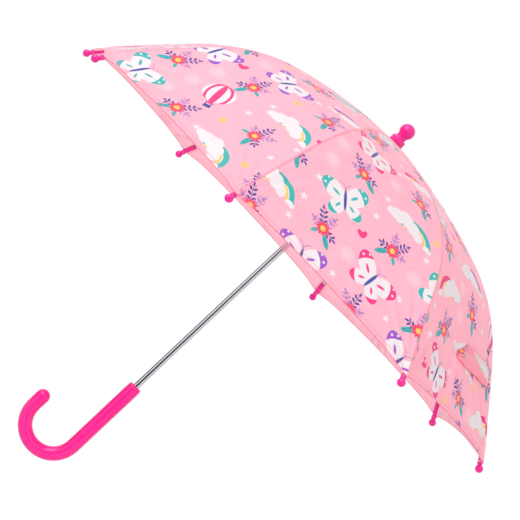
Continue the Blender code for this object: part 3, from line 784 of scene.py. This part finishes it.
PINK_PLASTIC = hard_look("hot_pink_plastic", (1.0, 0.014, 0.30), (0.98, 0.011, 0.28), 0.03,
                         0.16, 0.22, bump=0.002, Coat_Weight=0.15, Coat_Roughness=0.08,
                         Specular_IOR_Level=0.4)
TIP_PLASTIC = hard_look("glossy_magenta_plastic", (0.93, 0.008, 0.33), (0.86, 0.006, 0.30), 0.02,
                        0.12, 0.17, bump=0.002, Coat_Weight=0.2, Coat_Roughness=0.06)
CHROME = hard_look("bright_chrome", (0.86, 0.87, 0.89), (0.78, 0.79, 0.82), 0.015, 0.04, 0.09,
                   Metallic=1.0)
RIVET_METAL = hard_look("rivet_nickel", (0.72, 0.71, 0.69), (0.60, 0.59, 0.57), 0.004, 0.2,
                        0.4, bump=0.1, Metallic=1.0)
PLATED_STEEL = hard_look("zinc_plated_steel", (0.66, 0.66, 0.68), (0.52, 0.52, 0.54), 0.008,
                         0.26, 0.45, bump=0.08, Metallic=1.0)
WIRE_STEEL = hard_look("wire_steel", (0.42, 0.42, 0.43), (0.28, 0.28, 0.29), 0.004, 0.25, 0.45,
                       bump=0.1, Metallic=1.0)
BLACK_PLASTIC = hard_look("black_moulded_plastic", (0.030, 0.030, 0.033), (0.018, 0.018, 0.02),
                          0.01, 0.3, 0.5, bump=0.12)
THREAD = hard_look("white_thread", (0.88, 0.84, 0.84), (0.70, 0.62, 0.64), 0.0012, 0.7, 0.9,
                   bump=0.6)
PINK_THREAD = hard_look("pink_thread", (0.95, 0.22, 0.36), (0.75, 0.10, 0.22), 0.0012, 0.7,
                        0.9, bump=0.6)
print("hard materials made")


# %% Materials of the cloth
def cloth_look(name, ground, deep, faded=0.0, seam_tint=(0.90, 0.17, 0.25), sewn=0.85,
               glow=0.0):
    """Printed cloth; faded is how far the ink is lost on the wrong side. A little glow
    stands for the light that comes through so thin a cloth."""
    look, tree, shader = new_look(name)
    shader.inputs["Sheen Weight"].default_value = 0.12
    shader.inputs["Sheen Roughness"].default_value = 0.4
    shader.inputs["Specular IOR Level"].default_value = 0.35
    cloth = tree.nodes.new("ShaderNodeUVMap")
    cloth.uv_map = "cloth"
    edges = tree.nodes.new("ShaderNodeUVMap")
    edges.uv_map = "edges"
    threads = use(tree, weave, Cloth=cloth.outputs[0], Pitch=0.00055)
    dyed = over(tree, (*ground, 1.0), (*deep, 1.0), threads.outputs["Shade"])
    printed = use(tree, cloth_print, Cloth=cloth.outputs[0], Ground=dyed)
    colour = printed.outputs["Colour"]
    if faded:
        kept = Number(tree, printed.outputs["Ink"]) * (1.0 - faded)
        colour = over(tree, dyed, colour, kept)
    # seam_tint colours the seam groove, the stitches and the hem's edge, and also the painted
    # shade along the seams and towards the crown.
    sewn_on = use(tree, sewing, Cloth=cloth.outputs[0], Edges=edges.outputs[0], Colour=colour,
                  Seam_Tint=(*seam_tint, 1.0), Strength=sewn)
    tree.links.new(sewn_on.outputs["Colour"], shader.inputs["Base Color"])
    if glow:
        tree.links.new(sewn_on.outputs["Colour"], shader.inputs["Emission Color"])
        shader.inputs["Emission Strength"].default_value = glow
    gloss = Number(tree, threads.outputs["Shade"]) * 0.08 + 0.52
    tree.links.new(gloss.socket, shader.inputs["Roughness"])
    height = Number(tree, threads.outputs["Height"]) * 0.25 + sewn_on.outputs["Height"]
    bumped(tree, shader, height, 0.35, 0.0003)
    return look


OUTSIDE = cloth_look("printed_cloth", (1.0, 0.43, 0.53), (1.0, 0.405, 0.505), glow=0.10)
# The wrong side's paler ground and its stronger glow are painted light, for the light that comes
# through the cloth. Its faded print is the cloth's own.
INSIDE = cloth_look("printed_cloth_wrong_side", (1.0, 0.54, 0.635), (1.0, 0.51, 0.605),
                    faded=0.85, seam_tint=(0.80, 0.16, 0.24), glow=0.14)
# The strap is the same cloth as the canopy; its deeper ground is painted shade.
STRAP_CLOTH = cloth_look("strap_cloth", (1.0, 0.37, 0.455), (1.0, 0.31, 0.395), sewn=1.0,
                         glow=0.05)
print("cloth materials made")

# %% [markdown]
# ## Shared modelling helpers
# Most of the hard pieces are turned: the spin operator sweeps a profile about an axis, and
# merging the doubled points on the axis closes the poles.

# %% Pieces from a bmesh


def as_piece(name, bm, looks, body, sharp=40.0):
    """Turn a bmesh into a smooth-shaded piece that rides on a body."""
    bmesh.ops.remove_doubles(bm, verts=bm.verts, dist=1e-6)
    bmesh.ops.recalc_face_normals(bm, faces=bm.faces)
    mesh = mesh_of(name, bm, *looks)
    mesh.shade_smooth()
    mesh.set_sharp_from_angle(angle=math.radians(sharp))
    piece = linked(name, mesh)
    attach(piece, body)
    return piece


def spun(profile, steps):
    """A bmesh of a profile of (radius, z) turned about Z."""
    bm = bmesh.new()
    points = [bm.verts.new((r, 0.0, z)) for r, z in profile]
    chain = [bm.edges.new(pair) for pair in zip(points, points[1:])]
    if profile[0][0] > 0:
        chain.append(bm.edges.new((points[-1], points[0])))
    bmesh.ops.spin(bm, geom=points + chain, cent=(0, 0, 0), axis=(0, 0, 1),
                   angle=2 * math.pi, steps=steps, use_merge=True)
    return bm


def arc_points(centre, radius, start, end, steps):
    """Points (r, z) on an arc, angles in degrees."""
    turns = [math.radians(start + (end - start) * i / steps) for i in range(steps + 1)]
    return [(centre[0] + radius * math.cos(a), centre[1] + radius * math.sin(a))
            for a in turns]


def face_outward(bm, sample):
    """Turn all faces over if the sample face looks in."""
    for face in bm.faces:
        face.normal_update()
    centre = sample.calc_center_median()
    if sample.normal.dot(Vector((centre.x, centre.y, 0.2))) < 0:
        bmesh.ops.reverse_faces(bm, faces=bm.faces)


print("modelling helpers ready")

# %% [markdown]
# ## The canopy
# The real canopy is eight gores of cloth, sewn edge to edge over the ribs. Here it's a
# curved sheet cut in eight along the middles of the gores, so that each part keeps its
# seam and folds with its own rib. A formula lays a flat grid over the ribs, and adds small
# wrinkles: they fan out from the tips, where the cloth is pulled hardest, and from the
# spot where the strap is sewn on. A small ring round the crown is cut off each sheet.

# %% The cloth's shape in one rib's own frame
CLOTH_THICK = 0.00045
HEM = 6.0 * MM
STRAP_SEAM = (0.464, 0.3180)             # gore 8: share of the width, length from the crown


def chord(s):
    """The gore's width at length s."""
    return 2 * on_rib(s, cloth_lift(s))[0] * math.sin(STEP / 2)


def cloth_point(across, s):
    """The cloth's outer face; across runs from -0.5 to 0.5, between two gores' middles."""
    r, z = on_rib(s, cloth_lift(s))
    share = abs(across)
    seam_gap, soft = share * chord(s), 1.4 * MM
    r_x = r * (1 - share * (1 - math.cos(STEP)))
    r_y = math.copysign(r * share * math.sin(STEP), across)
    pull = math.sin(STEP / 2) * (math.hypot(seam_gap, soft) - seam_gap)
    return Vector((r_x - pull, r_y, z))


def cloth_normal(across, s):
    """The outward direction at a point of the cloth."""
    e = 0.0004
    if abs(across) < 0.002:
        side = Vector((0, 1, 0))
    else:
        side = cloth_point(across + 0.001, s) - cloth_point(across - 0.001, s)
    down = cloth_point(across, s + e) - cloth_point(across, s - e)
    return down.cross(side).normalized()


def ripple(gore, u, s):
    """How far the cloth stands off its stretched shape at one point of a gore."""
    wide = chord(s)
    x = (u - 0.5) * wide
    off = 0.0
    for corner, away in ((0, u * wide), (1, (1 - u) * wide)):
        rise = RIB_LENGTH - CORNER_GAP - s
        far = math.hypot(away, rise)
        lean = math.atan2(away, max(rise, 1e-6))
        swing = noise.noise((gore * 3.1, corner * 5.7, 0.5))
        size = 1.0 * MM * (0.8 + 0.5 * swing)
        fan = math.sin(lean * (19 + 3 * swing) + 2.2 * swing)
        fan += 0.5 * math.sin(lean * 37 + 4.0 * swing)
        off += (size * fan * smooth(0.008, 0.035, far) * (1 - smooth(0.05, 0.13, far))
                * smooth(0.0, 0.006, away) * (1 - smooth(0.55, 1.15, lean)))
        off -= (2.2 * MM * smooth(0.0022, 0.006, away) * (1 - smooth(0.008, 0.024, away))
                * (1 - smooth(0.004, 0.028, rise)))
    calm = smooth(0.0, 0.03, u * wide) * smooth(0.0, 0.03, (1 - u) * wide)
    off += 1.3 * MM * calm * noise.noise((x / 0.085, s / 0.11, gore * 7.3))
    off += 0.5 * MM * calm * noise.noise((x / 0.030, s / 0.06, gore * 2.9 + 40))
    if gore == RIBS:
        dx = x - (STRAP_SEAM[0] - 0.5) * wide
        dy = s - STRAP_SEAM[1]
        near = math.exp(-(dx * dx + dy * dy) / 0.010 ** 2)
        off -= 2.0 * MM * near
        folds = math.cos(dx / (3.4 * MM) + 0.6) * math.exp(-(dx / 0.016) ** 2)
        off += 3.6 * MM * folds * smooth(0.002, 0.014, dy) * (1 - smooth(0.030, 0.070, dy))
        off += 0.9 * MM * folds * smooth(0.004, 0.020, -dy) * (1 - smooth(0.03, 0.06, -dy))
    return off


def hem_and_seam(from_seam, from_rim):
    """The extra height of the folded hem and of the seam's two layers."""
    return 0.25 * MM * (1 - smooth(HEM - 0.8 * MM, HEM + 0.4 * MM, from_rim)) + \
        0.18 * MM * (1 - smooth(3.2 * MM, 4.2 * MM, from_seam))


print("gore width at the rim", round(chord(rim_length(0.5)), 4))

# %% Build the eight sheets
COLUMNS, ROWS = ((84, 132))
CROWN_CUT = 0.016                        # the clamped ring of cloth ends here


def canopy_sheet(name, k, start, stop=None, columns=COLUMNS, rows=ROWS):
    """The cloth over rib k, from the middle of gore k-1 to the middle of gore k, and from
    length start down to stop or to the rim."""
    bm = bmesh.new()
    bmesh.ops.create_grid(bm, x_segments=columns, y_segments=rows, size=0.5)
    cloth_uv, edge_uv = bm.loops.layers.uv.new("cloth"), bm.loops.layers.uv.new("edges")
    left = (k - 2) % RIBS + 1
    stations = {}
    for vert in bm.verts:
        t = 2 * vert.co.x
        across = 0.5 * math.copysign(0.55 * abs(t) + 0.45 * t * t, t)
        if abs(t) < 1e-6:
            across = 0.0
        down = 0.5 - vert.co.y
        down = 1 - (1 - down) * (0.45 + 0.55 * (1 - down))
        u = across if across >= 0 else 1 + across
        end = rim_length(u, k if across >= 0 else left)
        stations[vert] = (across, start + ((stop or end) - start) * down, end)
    for face in bm.faces:
        face.smooth = True
        middle = sum(stations[v][0] for v in face.verts) / len(face.verts)
        gore = k if middle > 0 else left
        for loop in face.loops:
            across, s, end = stations[loop.vert]
            wide = chord(s)
            x = (across - 0.5) * wide if middle > 0 else (across + 0.5) * wide
            loop[cloth_uv].uv = (x + 0.317 * gore, 0.173 * gore - s)
            loop[edge_uv].uv = (abs(across) * wide, end - s)
    turn = Matrix.Rotation(rib_azimuth(k), 3, "Z")
    for vert in bm.verts:
        across, s, end = stations[vert]
        gore = k if across >= 0 else left
        u = across if across >= 0 else 1 + across
        lift = ripple(gore, u, s) + hem_and_seam(abs(across) * chord(s), end - s)
        vert.co = turn @ (cloth_point(across, s) + lift * cloth_normal(across, s))
    face_outward(bm, min(bm.faces, key=lambda f: abs(f.calc_center_median().z - 0.38)))
    raw = linked(name, mesh_of(name, bm, OUTSIDE, INSIDE))
    wall = raw.modifiers.new("cloth", "SOLIDIFY")
    wall.thickness, wall.offset = CLOTH_THICK, -1.0
    wall.use_even_offset = True
    wall.material_offset = 1
    wall.material_offset_rim = 0
    applied(raw, 50)
    return raw


def gore_area(start, end, slices=200):
    """The area of one gore between two lengths, in strips across it."""
    strip = (end - start) / slices
    return sum(chord(start + strip * (i + 0.5)) for i in range(slices)) * strip


canopy, crown_ring = {}, {}
rim = RIB_LENGTH - CORNER_GAP
for k in range(1, RIBS + 1):
    canopy[k] = canopy_sheet(f"canopy_{k}", k, CROWN_CUT)
    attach(canopy[k], f"rib_body_{k}")
    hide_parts(f"canopy_panel_{k}")
    chord(rim)
    gore_area(CROWN_CUT, rim_length(0.5))
    crown_ring[k] = canopy_sheet(f"crown_ring_{k}", k, CROWN_HOLE_R, CROWN_CUT, 12, 12)
    chord(CROWN_CUT)
    gore_area(CROWN_HOLE_R, CROWN_CUT)
print("eight sheets of", len(canopy[1].data.vertices), "points; one gore is",
      round(gore_area(CROWN_HOLE_R, rim_length(0.5)) * 1e4), "square centimetres")

# %% [markdown]
# ## The closing strap
# A short band of the same cloth is sewn to one gore and lies slack on it, crumpled at its
# sewn end. It's a grid laid on the canopy by the same formula and lifted off it a little.

# %% Strap
STRAP_SPAN, STRAP_DOWN, STRAP_WIDTH = (0.47, 0.93), 0.310, 0.026
strap_bm = bmesh.new()
bmesh.ops.create_grid(strap_bm, x_segments=96, y_segments=30, size=0.5)
cloth_uv = strap_bm.loops.layers.uv.new("cloth")
edge_uv = strap_bm.loops.layers.uv.new("edges")
for face in strap_bm.faces:
    for loop in face.loops:
        x, y = loop.vert.co.x, loop.vert.co.y
        loop[cloth_uv].uv = (1.93 + x * 0.095, 0.655 + y * STRAP_WIDTH)
        # The strap's edge map, with sewn=1.0, gives stitches and a doubled band along its long
        # edges. It also paints shade: a darker line along those edges and a dark band at the
        # gathered sewn end.
        loop[edge_uv].uv = (0.2 * MM + (x + 0.5) * 0.05, (0.5 - abs(y)) * STRAP_WIDTH)
for vert in strap_bm.verts:
    t, w = vert.co.x + 0.5, vert.co.y            # along from the sewn end, and across
    pinch = 0.36 + 0.64 * smooth(0.0, 0.26, t)
    u = STRAP_SPAN[0] + (STRAP_SPAN[1] - STRAP_SPAN[0]) * t
    s = STRAP_DOWN + STRAP_WIDTH * (0.125 - 0.20 * t - w * pinch + 0.34 * (1 - pinch))
    side = u if u <= 0.5 else u - 1
    k = RIBS if u <= 0.5 else 1
    local = cloth_point(side, s) + ripple(RIBS, u, s) * cloth_normal(side, s)
    spin = Matrix.Rotation(rib_azimuth(k), 3, "Z")
    normal = spin @ cloth_normal(side, s)
    crumple = 1.2 * MM * math.sin(t * 26 + 3 * w) * (1 - smooth(0.05, 0.5, t))
    crumple += 1.7 * MM * math.cos(w * 19 + 0.7) * (1 - smooth(0.02, 0.42, t))
    crumple += 0.7 * MM * noise.noise((t * 6, w * 3, 2.2))
    edge = 1 - smooth(0.30, 0.5, abs(w))
    lift = 0.35 * MM + 2.4 * MM * math.sin(math.pi * t) * (0.25 + 0.75 * edge)
    lift += max(0.0, crumple + 0.5 * MM) * (0.3 + 0.7 * edge)
    vert.co = spin @ local + lift * normal
face_outward(strap_bm, next(iter(strap_bm.faces)))
strap_mesh = mesh_of("strap", strap_bm, STRAP_CLOTH)
strap_mesh.shade_smooth()
strap = linked("strap", strap_mesh)
wall = strap.modifiers.new("cloth", "SOLIDIFY")
wall.thickness, wall.offset = 0.6 * MM, 1.0
applied(strap, 50)
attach(strap, "rib_body_8")
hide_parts("closing_strap")
strap_length = (STRAP_SPAN[1] - STRAP_SPAN[0]) * chord(STRAP_DOWN)
print("strap", round(strap_length, 4), "long")

# %% [markdown]
# ## Cloth meshes
# When the umbrella closes, real cloth hangs in folds between the ribs, which a rigid sheet
# can't. Here each canopy sheet and the strap get a mesh of their own, and each crown
# ring's placement is worked into its mesh.

# %% Give the cloth its own meshes
for k in range(1, RIBS + 1):
    angle = rib_azimuth(k)
    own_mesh(canopy[k])
    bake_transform(crown_ring[k])
angle = rib_azimuth(RIBS)
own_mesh(strap)

# %% [markdown]
# ## The handle
# One moulded tube: a straight grip and a half-circle hook. It starts as a circle;
# extruding it makes the grip, spinning it makes the hook, and scaled extrusions round the
# end.

# %% Handle
HANDLE_TOP_Z, HANDLE_R, HANDLE_LIP_R, HANDLE_LIP = 0.0504, 0.0085, 0.0081, 0.0070
HOOK_Z, HOOK_R, HOOK_RISE, BORE_R, BORE_DEPTH = -0.0502, 0.0330, 0.0140, 0.0043, 0.040


def extrude_ring(bm, ring, matrix, about=(0, 0, 0)):
    """Extrude a ring of edges and move the new ring."""
    grown = bmesh.ops.extrude_edge_only(bm, edges=ring)["geom"]
    points = [item for item in grown if isinstance(item, bmesh.types.BMVert)]
    bmesh.ops.transform(bm, matrix=matrix, space=Matrix.Translation(-Vector(about)),
                        verts=points)
    fresh = set(points)
    return [item for item in grown if isinstance(item, bmesh.types.BMEdge)
            and item.verts[0] in fresh and item.verts[1] in fresh]


def resize(bm, ring, factor, rise, about):
    """Extrude a ring, scaled by factor about a point and moved up by rise."""
    return extrude_ring(bm, ring, Matrix.Translation((0, 0, rise))
                        @ Matrix.Diagonal((factor, factor, 1, 1)), about)


bm = bmesh.new()
bmesh.ops.create_circle(bm, cap_ends=False, radius=HANDLE_R, segments=48,
                        matrix=Matrix.Translation((0, 0, HOOK_Z)))
start = [e for e in bm.edges]
ring, radius = start, HANDLE_R
for z, r in [(HOOK_Z + 0.03, HANDLE_R), (0.0, HANDLE_R), (HANDLE_TOP_Z - HANDLE_LIP, HANDLE_R),
             (HANDLE_TOP_Z - 0.8 * HANDLE_LIP, HANDLE_R - 0.05 * MM),
             (HANDLE_TOP_Z - 1.7 * MM, HANDLE_LIP_R + 0.1 * MM),
             (HANDLE_TOP_Z - 0.9 * MM, HANDLE_LIP_R - 0.20 * MM),
             (HANDLE_TOP_Z - 0.3 * MM, HANDLE_LIP_R - 0.75 * MM),
             (HANDLE_TOP_Z, HANDLE_LIP_R - 1.5 * MM), (HANDLE_TOP_Z, BORE_R + 0.5 * MM),
             (HANDLE_TOP_Z - 0.15 * MM, BORE_R + 0.15 * MM), (HANDLE_TOP_Z - 0.5 * MM, BORE_R),
             (HANDLE_TOP_Z - BORE_DEPTH, BORE_R)]:
    here = ring[0].verts[0].co.z
    ring = resize(bm, ring, r / radius, z - here, (0, 0, 0))
    radius = r
bmesh.ops.edgeloop_fill(bm, edges=ring)
hook = bmesh.ops.spin(bm, geom=start, cent=(-HOOK_R, 0, HOOK_Z), axis=(0, 1, 0),
                      angle=math.pi, steps=56)
ring = [item for item in hook["geom_last"] if isinstance(item, bmesh.types.BMEdge)]
end_x = -2 * HOOK_R
if sum(e.verts[0].co.x for e in ring) / len(ring) > end_x / 2:
    print("the hook turned the wrong way")
radius, height = HANDLE_R, 0.0
for step in range(1, 13):
    turn = math.radians(90 * (step - 2) / 10.5)
    r = HANDLE_R if step <= 2 else HANDLE_R * math.cos(turn)
    z = HOOK_RISE * step / 2 if step <= 2 else HOOK_RISE + HANDLE_R * math.sin(turn)
    ring = resize(bm, ring, r / radius, z - height, (end_x, 0, 0))
    radius, height = r, z
bmesh.ops.edgeloop_fill(bm, edges=ring)
handle = as_piece("hook_handle", bm, [PINK_PLASTIC], "shaft_body", 50)
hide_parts("handle")
print("handle", [round(x, 4) for x in handle.dimensions])

# %% [markdown]
# ## Shaft
# The shaft is a thin chromed tube. A tube of many sides keeps the reflections straight.
# The slot that the spring catch works in is cut with a Boolean, the way a mill cuts it.

# %% Shaft
SHAFT_R, SHAFT_BORE_R = 0.0040, 0.0032
RIVET_Z = 0.42814                        # where a stretcher meets its rib
RUNNER_DROP, CATCH_LENGTH, END_GAP = 0.048, 0.022, 0.0003
CATCH_TOP_Z = NOTCH_PIVOT_Z - 2 * (NOTCH_PIVOT_Z - RIVET_Z) - RUNNER_DROP - END_GAP
bottom = HANDLE_TOP_Z - BORE_DEPTH + END_GAP
bm = spun([(SHAFT_BORE_R, bottom), (SHAFT_R, bottom), (SHAFT_R, 0.06), (SHAFT_R, 0.2),
           (SHAFT_R, SHAFT_TOP_Z - 0.3 * MM), (SHAFT_R - 0.3 * MM, SHAFT_TOP_Z),
           (SHAFT_BORE_R, SHAFT_TOP_Z)], 64)
shaft = as_piece("shaft_tube", bm, [CHROME], "shaft_body", 30)
low, high = CATCH_TOP_Z - 0.84 * CATCH_LENGTH, CATCH_TOP_Z + 0.0013
bm = bmesh.new()
bmesh.ops.create_cube(bm, size=1.0, matrix=Matrix.Translation((0.0033, 0, (low + high) / 2))
                      @ Matrix.Diagonal((0.0034, 0.0024, high - low, 1)))
cutter = linked("slot_cutter", mesh_of("slot_cutter", bm))
cut = shaft.modifiers.new("slot", "BOOLEAN")
cut.operation, cut.solver, cut.object = "DIFFERENCE", "EXACT", cutter
applied(shaft, 30)
bpy.data.objects.remove(cutter, do_unlink=True)
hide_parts("shaft")
print("shaft runs from", round(bottom, 4), "to", round(SHAFT_TOP_Z, 4))

# %% [markdown]
# ## Ferrule and rib tips
# The ferrule clamps the cloth at the crown and ends in a ball. Each rib ends in a small
# ball of the same plastic, with a sleeve for the rib and a ring that the cloth's corner is
# sewn to. All are turned from a profile with rounded edges.

# %% Ferrule
FERRULE_R, FERRULE_NECK_R, FERRULE_BASE = 0.0095, 0.0066, 0.0075
seat, skirt, ball_z = CROWN_Z + 0.0005, CROWN_Z + 0.0001, CROWN_Z + 0.0194
collar = seat + FERRULE_BASE
edge = 1.9 * MM
profile = [(0, SHAFT_TOP_Z + 0.0003), (0.0043, SHAFT_TOP_Z + 0.0003), (0.0043, seat)]
profile += arc_points((FERRULE_R - 0.5 * MM, skirt + 0.5 * MM), 0.5 * MM, -90, 0, 4)
profile += arc_points((FERRULE_R - edge, collar - edge), edge, 0, 90, 6)
profile += arc_points((FERRULE_NECK_R + 0.5 * MM, collar + 0.5 * MM), 0.5 * MM, 270, 180, 4)
neck_turn = -math.degrees(math.acos(FERRULE_NECK_R / FERRULE_R))
profile += arc_points((0, ball_z), FERRULE_R, neck_turn, 90, 20)
profile[-1] = (0, ball_z + FERRULE_R)
ferrule = as_piece("crown_ferrule", spun(profile, 56), [TIP_PLASTIC], "shaft_body", 45)
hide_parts("ferrule")
print("ferrule ball at", round(ball_z, 4))

# %% Rib tips and the thread that holds the cloth to them
BALL_R, TIP_NECK_R, TIP_RING_R, SLEEVE_R, SLEEVE_BORE_R = 0.0047, 0.0026, 0.0032, 0.00275, 0.0021
SLEEVE_END, SLEEVE_FLOOR = 0.0270, 0.0090
neck_turn = math.degrees(math.acos(TIP_NECK_R / BALL_R))
tip_profile = arc_points((0, 0), BALL_R, -90, neck_turn, 16)
tip_profile[0] = (0, -BALL_R)
tip_profile += [(TIP_NECK_R, BALL_R - 0.1 * MM)]
tip_profile += arc_points((TIP_RING_R - 0.4 * MM, BALL_R + 0.7 * MM), 0.4 * MM, -60, 0, 3)
tip_profile += arc_points((TIP_RING_R - 0.4 * MM, SLEEVE_FLOOR - 1.4 * MM), 0.4 * MM, 0, 60, 3)
tip_profile += [(SLEEVE_R, SLEEVE_FLOOR - 0.5 * MM), (SLEEVE_R, SLEEVE_END - 0.25 * MM),
                (SLEEVE_R - 0.2 * MM, SLEEVE_END), (SLEEVE_BORE_R, SLEEVE_END),
                (SLEEVE_BORE_R, SLEEVE_FLOOR), (0, SLEEVE_FLOOR)]
ball_r, ball_height = on_rib(RIB_LENGTH)


def tip_place(k):
    """From the tip's own frame, whose +Z points in along the rib, to the umbrella's."""
    return (Matrix.Rotation(rib_azimuth(k), 4, "Z") @ Matrix.Translation((ball_r, 0, ball_height))
            @ Matrix.Rotation(TIP_SLOPE - math.pi / 2, 4, "Y"))


for k in range(1, RIBS + 1):
    bm = spun(tip_profile, 32)
    bmesh.ops.transform(bm, matrix=tip_place(k), verts=bm.verts)
    tip = as_piece(f"tip_ball_{k}", bm, [TIP_PLASTIC], f"rib_body_{k}", 45)
    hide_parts(f"rib_tip_{k}")
    bm = bmesh.new()
    for z, lean in ((8.35 * MM, 0.10), (8.85 * MM, -0.12)):
        section = bmesh.ops.create_circle(
            bm, cap_ends=False, radius=0.28 * MM, segments=8,
            matrix=Matrix.Translation((SLEEVE_R + 0.25 * MM, 0, z))
            @ Matrix.Rotation(math.pi / 2, 4, "X"))["verts"]
        loops = list({e for v in section for e in v.link_edges})
        bmesh.ops.spin(bm, geom=section + loops, cent=(0, 0, z), axis=(lean, 0, 1),
                       angle=2 * math.pi, steps=32, use_merge=True)
    bmesh.ops.transform(bm, matrix=tip_place(k), verts=bm.verts)
    as_piece(f"tip_thread_{k}", bm, [THREAD if k == 1 else PINK_THREAD], f"rib_body_{k}", 60)
print("eight tips, balls at radius", round(ball_r, 4))

# %% [markdown]
# ## The pieces that keep their CAD meshes
# The ribs, stretchers, rivets, runner, notch, catch and wires only need a finish. They are
# hidden in the photograph, so zinc-plated strip, bare wire and black mouldings are guesses.

# %% Materials on the carried-over nodes
finishes = {"rib_": PLATED_STEEL, "stretcher_": PLATED_STEEL, "rivet_": RIVET_METAL,
            "runner_wire": WIRE_STEEL, "notch_wire": WIRE_STEEL, "runner": BLACK_PLASTIC,
            "top_notch": BLACK_PLASTIC, "top_catch": WIRE_STEEL}
dressed = 0
for name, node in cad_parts.items():
    if node.hide_render:
        continue
    look = next(look for start_of, look in finishes.items() if name.startswith(start_of))
    node.data.materials.clear()
    node.data.materials.append(look)
    dressed += 1
print(dressed, "carried-over nodes have a finish")
